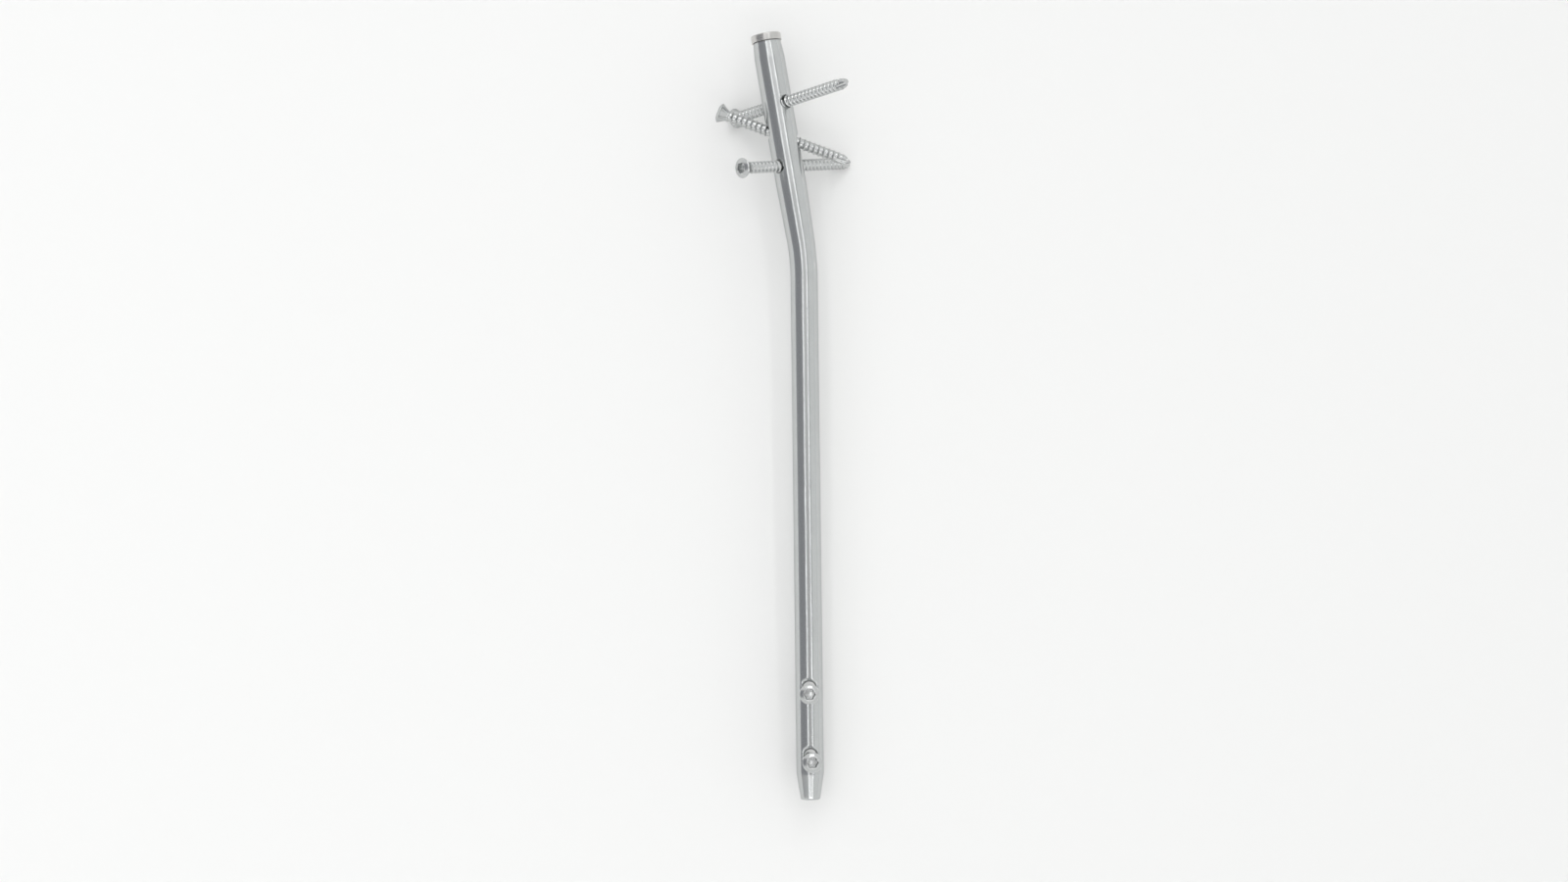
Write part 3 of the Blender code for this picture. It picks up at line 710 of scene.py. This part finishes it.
def mouth_points(place, angle, side, nail_surface, travel, lip_beside, lip_along):
    """The points down one mouth of a hole at one angle, in the hole's own frame.

    A ball as large as the lip is laid against the bore and the nail's surface from inside. The
    mouth follows that ball from the bore until it is nearly level with the surface, and then
    leaves it straight. Round a slot the ball lies a little deeper, which leaves a narrow facet.
    """
    lip = mouth_lip(angle, lip_beside, lip_along)
    outward = Vector((math.cos(angle), math.sin(angle), 0))
    shift = Vector((0, math.copysign(travel / 2, math.sin(angle)), 0))
    start = shift + outward * (HOLE_RADIUS + lip)
    facet = 0
    tilt = 0
    if travel:
        facet = SLOT_FACET_WIDTH
        tilt = facet_tilt(start, outward, nail_surface)
    turn = place.to_3x3()
    centre = ball_centre(turn, start, side, nail_surface - lip - facet * math.sin(tilt))
    from_axis = turn @ centre
    normal = turn.transposed() @ Vector((from_axis.x, 0, from_axis.z)).normalized()
    whole = math.acos(-outward.dot(normal))

    def direction(swing):
        return (normal * math.sin(swing) - outward * math.sin(whole - swing)) / math.sin(whole)

    last = whole - tilt if travel else whole * LIP_SHARE
    swings = [last * step / ARC_STEPS for step in range(ARC_STEPS + 1)]
    points = [centre + direction(swing) * lip for swing in swings]
    straight = direction(last + math.pi / 2)
    flared = points[-1] + straight * (lip * LIP_FLARE + facet)
    if facet:
        points.append(points[-1] + straight * facet * SLOT_FACET_SHARE)
    squareness = math.sqrt(1 - (turn @ HOLE_AXIS).y ** 2)
    height = side * (nail_surface + OVERRUN) / squareness
    return points + [flared, Vector((flared.x, flared.y, height))]


def hole_cutter(name, place, nail_surface, travel, lip_beside, lip_along):
    """A bore across the bar with rounded mouths, drawn out along the bar if it travels."""
    columns = []
    for step in range(MOUTH_SIDES):
        angle = 2 * math.pi * (step + 0.5) / MOUTH_SIDES
        upper = mouth_points(place, angle, 1, nail_surface, travel, lip_beside, lip_along)
        lower = mouth_points(place, angle, -1, nail_surface, travel, lip_beside, lip_along)
        columns.append(upper[::-1] + lower)
    rings = [[column[row] for column in columns] for row in range(len(columns[0]))]
    mesh = loft(name, rings)
    mesh.transform(place)
    return mesh


def hole_thread_cutter(name, place, nail_surface, thread):
    """A fine thread in the wall of a round hole, which grips the screw.

    Between its teeth the cutter stays just inside the bore that is already there.
    """
    reach = nail_surface / math.cos(OBLIQUE_DESCENT) - HOLE_THREAD_INSET
    radius = HOLE_RADIUS - SCREW_CLEARANCE / 2
    skin = tree_mesh(name, thread, bpy.data.meshes.new(name), {
        "Bottom": -reach,
        "Top": reach,
        "Pitch": HOLE_THREAD_PITCH,
        "Core Radius": radius,
        "Crest Radius": HOLE_RADIUS + HOLE_THREAD_DEPTH,
        "Tooth Width": HOLE_TOOTH_WIDTH,
        "Root Hollow Radius": ROOT_HOLLOW_RADIUS,
        "Tip Radius": radius,
        "Tip Length": HOLE_THREAD_PITCH,
        "Neck Radius": radius,
        "Run Out": HOLE_THREAD_PITCH,
        "Root Rise": HOLE_THREAD_PITCH,
        "Merge Distance": MERGE,
        "Turns": math.ceil(2 * reach / HOLE_THREAD_PITCH) + 1,
        "Sides": BORE_SIDES,
        "Rows": HOLE_THREAD_ROWS,
    })
    ends = [turned(name, [(0, reach), (radius, reach)], BORE_SIDES),
            turned(name, [(radius, -reach), (0, -reach)], BORE_SIDES)]
    mesh = joined(name, [skin] + ends)
    mesh.transform(place)
    return mesh


def make_nail(trees, material, own_frame):
    """The nail, cut as a straight bar whose top face is at the origin, and then bent."""
    stations = nail_stations()
    profile = [(0, 0)] + [(nail_radius(station), -station) for station in stations]
    profile.append((0, -NAIL_LENGTH))
    bar = along_bar(turned("nail_bar", profile, NAIL_SIDES))

    radius = CANNULATION_DIAMETER / 2
    steps = math.ceil(NAIL_LENGTH / BORE_STEP)
    channel = [(0, OVERRUN), (radius, OVERRUN)]
    channel += [(radius, -NAIL_LENGTH * step / steps) for step in range(steps + 1)]
    channel += [(radius, -NAIL_LENGTH - OVERRUN), (0, -NAIL_LENGTH - OVERRUN)]
    mouth = CAP_BORE_RADIUS + CAP_BORE_CHAMFER
    bore = [
        (0, OVERRUN),
        (mouth, OVERRUN),
        (mouth, 0),
        (CAP_BORE_RADIUS, -CAP_BORE_CHAMFER),
        (CAP_BORE_RADIUS, -CAP_BORE_DEPTH),
        (0, -CAP_BORE_DEPTH - CAP_BORE_RADIUS / 2),
    ]
    cutters = [along_bar(turned("cannulation", channel, BORE_SIDES)),
               along_bar(turned("cap_bore", bore, BORE_SIDES))]

    for label, crossing, azimuth, descent, _, _ in PROXIMAL_SCREWS:
        place = straight_bar_place(crossing, azimuth, descent)
        surface = nail_radius(crossing)
        cutters.append(hole_cutter(label + "_hole", place, surface, 0.0, HOLE_LIP, HOLE_LIP))
        cutters.append(hole_thread_cutter(label + "_hole", place, surface, trees["thread"]))
    for label, crossing, azimuth, descent, _, _ in DISTAL_SCREWS:
        distance = NAIL_LENGTH - crossing
        place = straight_bar_place(distance - SLOT_TRAVEL / 2, azimuth, descent)
        cutters.append(hole_cutter(label + "_slot", place, nail_radius(distance), SLOT_TRAVEL,
                                   SLOT_LIP_BESIDE, SLOT_LIP_ALONG))

    straight = cut("nail_bar", bar, cutters)
    keep_own_place(straight)
    bent = tree_mesh("bent_nail", trees["bend"], straight, {
        "Start": BEND_START,
        "Radius": BEND_RADIUS,
        "Angle": BEND_ANGLE,
        "Corner": BEND_TANGENT,
        "Material": material,
    })
    bent.transform(own_frame)
    return finished_piece("bent_nail", bent, material)


# The end cap and the screws


def socket_cutter(name, face_height):
    """The six-lobed driver socket, open at a face of the given height, with rounded edges.

    A level is a height and how much wider than the mean radius the socket is there. The first one
    carries the rounded mouth on past the face.
    """
    mean = (SOCKET_DIAMETER - SOCKET_LOBE_DEPTH) / 2
    corners = SOCKET_LOBES * LOBE_STEPS
    floor = face_height - SOCKET_DEPTH
    levels = []
    for step in range(1, ARC_STEPS + 1):
        angle = math.pi / 2 * step / ARC_STEPS
        levels.append((face_height - SOCKET_ROUNDING * (1 - math.cos(angle)),
                       SOCKET_ROUNDING * (1 - math.sin(angle))))
    (upper, outer), (lower, inner) = levels[:2]
    levels.insert(0, (upper + OVERRUN, outer + (outer - inner) * OVERRUN / (upper - lower)))
    for step in range(ARC_STEPS + 1):
        angle = math.pi / 2 * step / ARC_STEPS
        levels.append((floor + SOCKET_ROUNDING * (1 - math.sin(angle)),
                       -SOCKET_ROUNDING * (1 - math.cos(angle))))
    levels.append((floor, SOCKET_DIMPLE_DIAMETER / 2 - mean))
    levels.append((floor - SOCKET_DIMPLE_DEPTH, SOCKET_LEAST_RADIUS - mean))
    rings = []
    for height, wider in levels:
        ring = []
        for step in range(corners):
            angle = 2 * math.pi * step / corners
            wave = SOCKET_LOBE_DEPTH / 2 * math.cos(SOCKET_LOBES * angle)
            radius = mean + wider + wave * (mean + min(wider, 0)) / mean
            radius = max(radius, SOCKET_LEAST_RADIUS)
            ring.append((radius * math.cos(angle), radius * math.sin(angle), height))
        rings.append(ring)
    return loft(name, rings)


def make_end_cap(material, own_frame):
    """The cap that closes the nail's top: a flange, an undercut and a stem in the nail's bore."""
    flange = CAP_DIAMETER / 2
    stem = CAP_STEM_DIAMETER / 2
    seat = CAP_SEAM
    top = CAP_CLEARANCE + CAP_HEIGHT
    stem_end = seat - CAP_STEM_LENGTH
    profile = [(0, top)]
    profile += arc((flange - CAP_EDGE_RADIUS, top - CAP_EDGE_RADIUS), CAP_EDGE_RADIUS,
                   math.pi / 2, 0)
    profile += arc((flange - CAP_UNDER_EDGE_RADIUS, seat + CAP_UNDER_EDGE_RADIUS),
                   CAP_UNDER_EDGE_RADIUS, 0, -math.pi / 2)
    profile += [
        (stem - CAP_UNDERCUT_DEPTH, seat),
        (stem - CAP_UNDERCUT_DEPTH, seat - CAP_UNDERCUT_LENGTH),
        (stem, seat - CAP_UNDERCUT_LENGTH - CAP_UNDERCUT_DEPTH),
        (stem, stem_end + CAP_STEM_CHAMFER),
        (stem - CAP_STEM_CHAMFER, stem_end),
        (0, stem_end),
    ]
    blank = turned("end_cap_blank", profile, NAIL_SIDES)
    mesh = cut("end_cap_blank", blank, [socket_cutter("cap_socket", top)])
    keep_own_place(mesh)
    turn = VIEWER.rotation_difference(PROXIMAL_AXIS).to_matrix().to_4x4()
    mesh.transform(own_frame @ Matrix.Translation(PROXIMAL_AXIS * PROXIMAL_LENGTH) @ turn)
    return finished_piece("turned_end_cap", mesh, material)


def head_profile(head_reach, seat, thread_top):
    """A screw head's outline: flat face, ball-shaped dome, rounded band, hollow cone and neck."""
    rim = HEAD_DIAMETER / 2
    neck = NECK_DIAMETER / 2
    dome_centre = head_reach - HEAD_DOME_RADIUS * math.cos(HEAD_FACE_ANGLE)
    points = [(0, head_reach)]
    points += arc((0, dome_centre), HEAD_DOME_RADIUS, math.pi / 2 - HEAD_FACE_ANGLE,
                  math.pi / 2 - HEAD_RIM_ANGLE)[:-1]
    band = HEAD_BAND_HEIGHT / 2
    middle = head_reach - HEAD_DOME_HEIGHT - band
    points += arc((rim - band, middle), band, math.pi / 2 - HEAD_RIM_ANGLE, HEAD_BAND_END)
    for step in range(1, HEAD_CONE_STEPS + 1):
        left = 1 - step / HEAD_CONE_STEPS
        points.append((neck + (rim - band - neck) * left ** HEAD_CONE_HOLLOW,
                       seat + HEAD_CONE_HEIGHT * left))
    points.append((neck, thread_top))
    return points


def flute_cutter(name, tip, index):
    """A round-bottomed cutting flute beside the tip, which runs out up the thread."""
    shape = bmesh.new()
    radius = FLUTE_DIAMETER / 2
    length = FLUTE_LENGTH + OVERRUN
    bmesh.ops.create_cone(shape, cap_ends=True, segments=FLUTE_SIDES, radius1=radius,
                          radius2=radius, depth=length)
    lean = Matrix.Rotation(-FLUTE_SLOPE, 4, "X")
    out = Matrix.Translation((0, FLUTE_OFFSET, tip - OVERRUN + length / 2))
    around = Matrix.Rotation(2 * math.pi * index / FLUTE_COUNT, 4, "Z")
    bmesh.ops.transform(shape, matrix=around @ out @ lean, verts=shape.verts)
    return finished_mesh(name, shape)


def screw_mesh(name, head_reach, tip_reach, thread):
    """A locking screw about Z with its head up: thread, head, blunt tip, socket and flutes."""
    neck = NECK_DIAMETER / 2
    seat = head_reach - HEAD_HEIGHT
    thread_top = seat - NECK_LENGTH
    tip = -tip_reach
    tip_end = SCREW_TIP_DIAMETER / 2
    tip_edge = SCREW_TIP_ROUNDING / 2
    thread_bottom = tip + SCREW_TIP_ROUNDING
    skin = tree_mesh(name, thread, bpy.data.meshes.new(name), {
        "Bottom": thread_bottom,
        "Top": thread_top,
        "Pitch": THREAD_PITCH,
        "Core Radius": CORE_DIAMETER / 2,
        "Crest Radius": THREAD_DIAMETER / 2,
        "Tooth Width": TOOTH_WIDTH,
        "Root Hollow Radius": ROOT_HOLLOW_RADIUS,
        "Tip Radius": tip_end + tip_edge,
        "Tip Length": SCREW_TIP_LENGTH,
        "Neck Radius": neck,
        "Run Out": RUN_OUT_LENGTH,
        "Root Rise": ROOT_RISE_LENGTH,
        "Merge Distance": MERGE,
        "Turns": math.ceil((thread_top - thread_bottom) / THREAD_PITCH) + 1,
        "Sides": SCREW_SIDES,
        "Rows": THREAD_ROWS,
    })
    head = turned(name, head_profile(head_reach, seat, thread_top), SCREW_SIDES)
    end = []
    for step in range(ARC_STEPS + 1):
        angle = math.pi / 2 * step / ARC_STEPS
        end.append((tip_end + tip_edge * math.cos(angle),
                    thread_bottom - SCREW_TIP_ROUNDING * math.sin(angle)))
    point = turned(name, end + [(0, tip)], SCREW_SIDES)
    blank = joined(name, [skin, head, point])
    cutters = [socket_cutter(name, head_reach)]
    for index in range(FLUTE_COUNT):
        cutters.append(flute_cutter(name, tip, index))
    return cut(name, blank, [joined(name, cutters)])


def make_screws(trees, material, own_frame):
    """The three proximal screws and the two distal ones, each at its crossing."""
    screws = []
    for label, crossing, azimuth, descent, head_reach, tip_reach in PROXIMAL_SCREWS:
        centre = PROXIMAL_AXIS * (PROXIMAL_LENGTH - crossing)
        place = crossing_place(PROXIMAL_AXIS, centre, azimuth, descent)
        screws.append((f"proximal_screw_{label}", place, head_reach, tip_reach))
    for label, crossing, azimuth, descent, head_reach, tip_reach in DISTAL_SCREWS:
        centre = DISTAL_AXIS * (crossing - DISTAL_LENGTH)
        place = crossing_place(DISTAL_AXIS, centre, azimuth, descent)
        screws.append((f"distal_screw_{label}", place, head_reach, tip_reach))

    for node, place, head_reach, tip_reach in screws:
        mesh = screw_mesh(node + "_mesh", head_reach, tip_reach, trees["thread"])
        keep_own_place(mesh)
        mesh.transform(own_frame @ place)
        piece = finished_piece("threaded_" + node, mesh, material)
        add_to_part(piece, node)


# Metals


def scaled(tree, vector, factors):
    """A vector multiplied by three factors."""
    node = add_node(tree, "ShaderNodeVectorMath", {0: vector}, operation="MULTIPLY")
    combined = add_node(tree, "ShaderNodeCombineXYZ", dict(enumerate(factors)))
    feed(tree, combined.outputs[0], node.inputs[1])
    return node.outputs[0]


def noise(tree, vector, detail):
    """Soft random values, about one swell to each unit of the vector."""
    node = add_node(tree, "ShaderNodeTexNoise",
                    {"Vector": vector, "Scale": 1.0, "Detail": detail})
    return Term(tree, node.outputs[0])


def polish_group():
    """Fine scratches that run along Y, as a height and as a mask."""
    inputs = [PLACE] + numbers("Line Width", "Line Length")
    outputs = numbers("Height", "Mask")
    tree, given, output = new_tree("lengthwise_polish", "ShaderNodeTree", inputs, outputs)
    across = given["Line Width"].maths("POWER", -1)
    along = given["Line Length"].maths("POWER", -1)
    lines = noise(tree, scaled(tree, given["Place"], (across, along, across)), detail=3.0)
    feed(tree, lines * given["Line Width"], output.inputs["Height"])
    feed(tree, lines.ramp(*GRAIN_RANGE, 0, 1), output.inputs["Mask"])
    return tree


def turning_group():
    """Fine rings left by a lathe round Z, as a height and as a mask."""
    inputs = [PLACE] + numbers("Ring Width")
    tree, given, output = new_tree("turning_marks", "ShaderNodeTree", inputs,
                                   numbers("Height", "Mask"))
    across = given["Ring Width"].maths("POWER", -1)
    slow = across * RING_WANDER
    rings = noise(tree, scaled(tree, given["Place"], (slow, slow, across)), detail=2.0)
    feed(tree, rings * given["Ring Width"], output.inputs["Height"])
    feed(tree, rings.ramp(*GRAIN_RANGE, 0, 1), output.inputs["Mask"])
    return tree


def handling_group():
    """Soft smudges from handling and cleaning, as a mask."""
    tree, given, output = new_tree("handling_marks", "ShaderNodeTree",
                                   [PLACE] + numbers("Size"), numbers("Mask"))
    factor = given["Size"].maths("POWER", -1)
    smudges = noise(tree, scaled(tree, given["Place"], (factor, factor, factor)), detail=4.0)
    feed(tree, smudges.ramp(*SMUDGE_RANGE, 0, 1), output.inputs["Mask"])
    return tree


def worn_edge_and_highlight_group():
    """Edges that are worn bright and carry a painted highlight, as a mask."""
    tree, given, output = new_tree("worn_edges_and_painted_highlight", "ShaderNodeTree",
                                   numbers("Start", "End"), numbers("Mask"))
    geometry = add_node(tree, "ShaderNodeNewGeometry")
    pointed = Term(tree, geometry.outputs["Pointiness"])
    feed(tree, pointed.ramp(given["Start"], given["End"], 0, 1), output.inputs["Mask"])
    return tree


def group_node(tree, group, values):
    """Places a shader group in a material; gives its outputs as terms by name."""
    node = add_node(tree, "ShaderNodeGroup", node_tree=group)
    for name, value in values.items():
        feed(tree, value, node.inputs[name])
    return {socket.name: Term(tree, socket) for socket in node.outputs}


def mixed_colour(tree, mask, first, last):
    """Goes from the first colour, where the mask is 0, to the last, where it is 1."""
    node = add_node(tree, "ShaderNodeMix", {0: mask}, data_type="RGBA")
    feed(tree, first, node.inputs[6])
    feed(tree, last, node.inputs[7])
    return node.outputs[2]


def metal(name, groups, look):
    """Bare titanium alloy: its grain, smudges, and worn edges with a painted highlight, over one base
    colour.
    """
    material = bpy.data.materials.new(name)
    material.use_nodes = True
    tree = material.node_tree
    shader = tree.nodes["Principled BSDF"]
    shader.inputs["Metallic"].default_value = 1.0
    shader.inputs["Specular Tint"].default_value = (*[look["edge_tint"]] * 3, 1)
    own = add_node(tree, "ShaderNodeAttribute", attribute_name=OWN_PLACE).outputs["Vector"]
    marks = group_node(tree, groups[look["grain"]], {"Place": own, **look["grain_values"]})
    smudges = group_node(tree, groups["handling"], {"Place": own, "Size": SMUDGE_SIZE})["Mask"]
    start, end = WEAR_AND_HIGHLIGHT_RANGE
    edges = group_node(tree, groups["edges"], {"Start": start, "End": end})["Mask"]

    colour = look["colour"]
    smudged = [channel * SMUDGE_DARKENING for channel in colour]
    tinted = mixed_colour(tree, smudges * SMUDGE_STRENGTH, (*colour, 1), (*smudged, 1))
    # Edges take a lighter colour, which is worn metal and a painted highlight along them
    worn_and_highlit = mixed_colour(tree, edges, tinted, (*look["wear_and_highlight_colour"], 1))
    feed(tree, worn_and_highlit, shader.inputs["Base Color"])

    uneven = (marks["Mask"] + smudges) / 2
    rough = uneven.ramp(0, 1, *look["roughness"], "LINEAR")
    feed(tree, rough - edges * RUBBED_SMOOTHING, shader.inputs["Roughness"])
    bump = add_node(tree, "ShaderNodeBump", {"Strength": look["grain_depth"], "Distance": 1.0,
                                             "Height": marks["Height"]})
    feed(tree, bump.outputs[0], shader.inputs["Normal"])
    return material


# Floor, light and camera


def make_floor():
    """A pale floor that catches the shadow."""
    shape = bmesh.new()
    bmesh.ops.create_grid(shape, x_segments=1, y_segments=1, size=FLOOR_HALF_SIZE)
    floor = new_object("studio_floor", finished_mesh("studio_floor", shape))
    material = bpy.data.materials.new("pale_floor")
    material.use_nodes = True
    shader = material.node_tree.nodes["Principled BSDF"]
    shader.inputs["Base Color"].default_value = (*FLOOR_COLOUR, 1)
    shader.inputs["Roughness"].default_value = FLOOR_ROUGHNESS
    shader.inputs["Specular IOR Level"].default_value = FLOOR_SHEEN
    floor.data.materials.append(material)


def angles_round_nail(tree, own_frame):
    """The angles of a direction round the nail's axis and along it, in degrees."""
    direction = add_node(tree, "ShaderNodeTexCoord").outputs["Generated"]
    parts = []
    for axis in own_frame.to_3x3().transposed():
        node = add_node(tree, "ShaderNodeVectorMath", {0: direction, 1: axis},
                        operation="DOT_PRODUCT")
        parts.append(Term(tree, node.outputs["Value"]))
    x, y, z = parts
    degrees = math.degrees(1)
    return x.maths("ARCTAN2", z) * degrees, y.maths("ARCSINE") * degrees


def wall_colour(tree, around):
    """The colour of the walls round the nail, blended from band to band."""
    ramp = add_node(tree, "ShaderNodeValToRGB", {0: around / FULL_TURN + 0.5})
    stops = ramp.color_ramp.elements
    while len(stops) > 1:
        stops.remove(stops[-1])
    for index, (degrees, colour) in enumerate(WALL_BANDS):
        place = degrees / FULL_TURN + 0.5
        if index:
            stop = stops.new(place)
        else:
            stop = stops[0]
            stop.position = place
        stop.color = (*colour, 1)
    return ramp.outputs[0]


def make_world(own_frame):
    """A soft studio round the nail: walls, a screen, a frame of light tubes and a top panel."""
    world = bpy.data.worlds.new("studio")
    bpy.context.scene.world = world
    world.use_nodes = True
    tree = world.node_tree
    around, along = angles_round_nail(tree, own_frame)
    past_screen = along.ramp(*SCREEN_TOP, 0, 1) + along.ramp(*SCREEN_FOOT, 1, 0)
    walls = mixed_colour(tree, past_screen, wall_colour(tree, around), (*WALL_LIGHT, 1))

    # How far a direction lies outside the frame at its sides and at its ends
    beside = (around - TUBE_FRAME_MIDDLE[0]).maths("ABSOLUTE") - TUBE_FRAME_HALF[0]
    beyond = (along - TUBE_FRAME_MIDDLE[1]).maths("ABSOLUTE") - TUBE_FRAME_HALF[1]
    from_frame = beside.maths("MAXIMUM", beyond)
    inside = from_frame.ramp(-TUBE_BLUR, TUBE_BLUR, 1, 0)
    (low, low_level), (high, high_level) = INSIDE_FRAME
    inner = along.ramp(low, high, low_level, high_level, "LINEAR")
    (low, low_share), (high, high_share) = INSIDE_TOP
    inner = inner * along.ramp(low, high, low_share, high_share)
    filled = mixed_colour(tree, inside, walls, inner)
    tubes = from_frame.maths("ABSOLUTE").ramp(TUBE_HALF_WIDTH, TUBE_HALF_WIDTH + TUBE_BLUR, 1, 0)
    lit = (beyond - beside).ramp(-TUBE_BLUR, TUBE_BLUR, TUBE_BRIGHTNESS, CROSS_TUBE_BRIGHTNESS)
    framed = mixed_colour(tree, tubes, filled, lit)

    low, high = TOP_PANEL
    panel = (along.ramp(low - TUBE_BLUR, low, 0, 1) * along.ramp(high, high + TUBE_BLUR, 1, 0)
             * beside.ramp(TUBE_HALF_WIDTH, TUBE_HALF_WIDTH + TUBE_BLUR, 1, 0))
    colour = mixed_colour(tree, panel, framed, (*[TUBE_BRIGHTNESS] * 3, 1))
    feed(tree, colour, tree.nodes["Background"].inputs["Color"])


def make_softbox():
    """A softbox over the floor, which the metal doesn't mirror."""
    lamp = bpy.data.lights.new("floor_softbox", "AREA")
    lamp.shape = "SQUARE"
    lamp.size = SOFTBOX_SIZE
    lamp.energy = SOFTBOX_BRIGHTNESS * math.pi * SOFTBOX_SIZE ** 2
    item = bpy.data.objects.new("floor_softbox", lamp)
    bpy.context.scene.collection.objects.link(item)
    item.matrix_world = (Matrix.Translation(SOFTBOX_PLACE)
                         @ Vector(SOFTBOX_PLACE).to_track_quat("Z", "Y").to_matrix().to_4x4())
    item.visible_camera = False
    item.visible_glossy = False


def make_camera(own_frame):
    """The camera that sees the nail as the photo does."""
    camera = bpy.data.cameras.new("camera")
    camera.sensor_width = SENSOR_WIDTH
    camera.lens = CAMERA_LENS
    item = bpy.data.objects.new("camera", camera)
    bpy.context.scene.collection.objects.link(item)
    turn = Matrix.Rotation(-CAMERA_ROLL, 4, "Z") @ Matrix.Rotation(CAMERA_PITCH, 4, "X")
    item.matrix_world = own_frame @ Matrix.Translation(CAMERA_PLACE) @ turn
    bpy.context.scene.camera = item


# The part


def finished_piece(name, mesh, material):
    """A piece of the part, in its place, with its material and smooth shading between its edges."""
    mesh.name = name
    mesh.materials.clear()
    mesh.materials.append(material)
    mesh.shade_smooth()
    mesh.set_sharp_from_angle(angle=SMOOTH_ANGLE)
    return new_object(name, mesh)


def add_to_part(piece, node):
    """Puts a piece in the place of a node's solid."""
    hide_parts(node)
    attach(piece, "root")


def main():
    """Builds the part and the studio round it."""
    own_frame = nail_frame()
    make_camera(own_frame)
    groups = {
        "polish": polish_group(),
        "turning": turning_group(),
        "handling": handling_group(),
        "edges": worn_edge_and_highlight_group(),
    }
    nail_metal = metal("polished_titanium", groups, NAIL_LOOK)
    cap_metal = metal("turned_cap_titanium", groups, CAP_LOOK)
    screw_metal = metal("bright_screw_titanium", groups, SCREW_LOOK)
    trees = {"bend": bend_tree(), "thread": thread_tree()}
    add_to_part(make_nail(trees, nail_metal, own_frame), "nail")
    add_to_part(make_end_cap(cap_metal, own_frame), "end_cap")
    make_screws(trees, screw_metal, own_frame)
    make_floor()
    make_world(own_frame)
    make_softbox()
    bpy.context.scene.view_settings.view_transform = "Standard"


main()
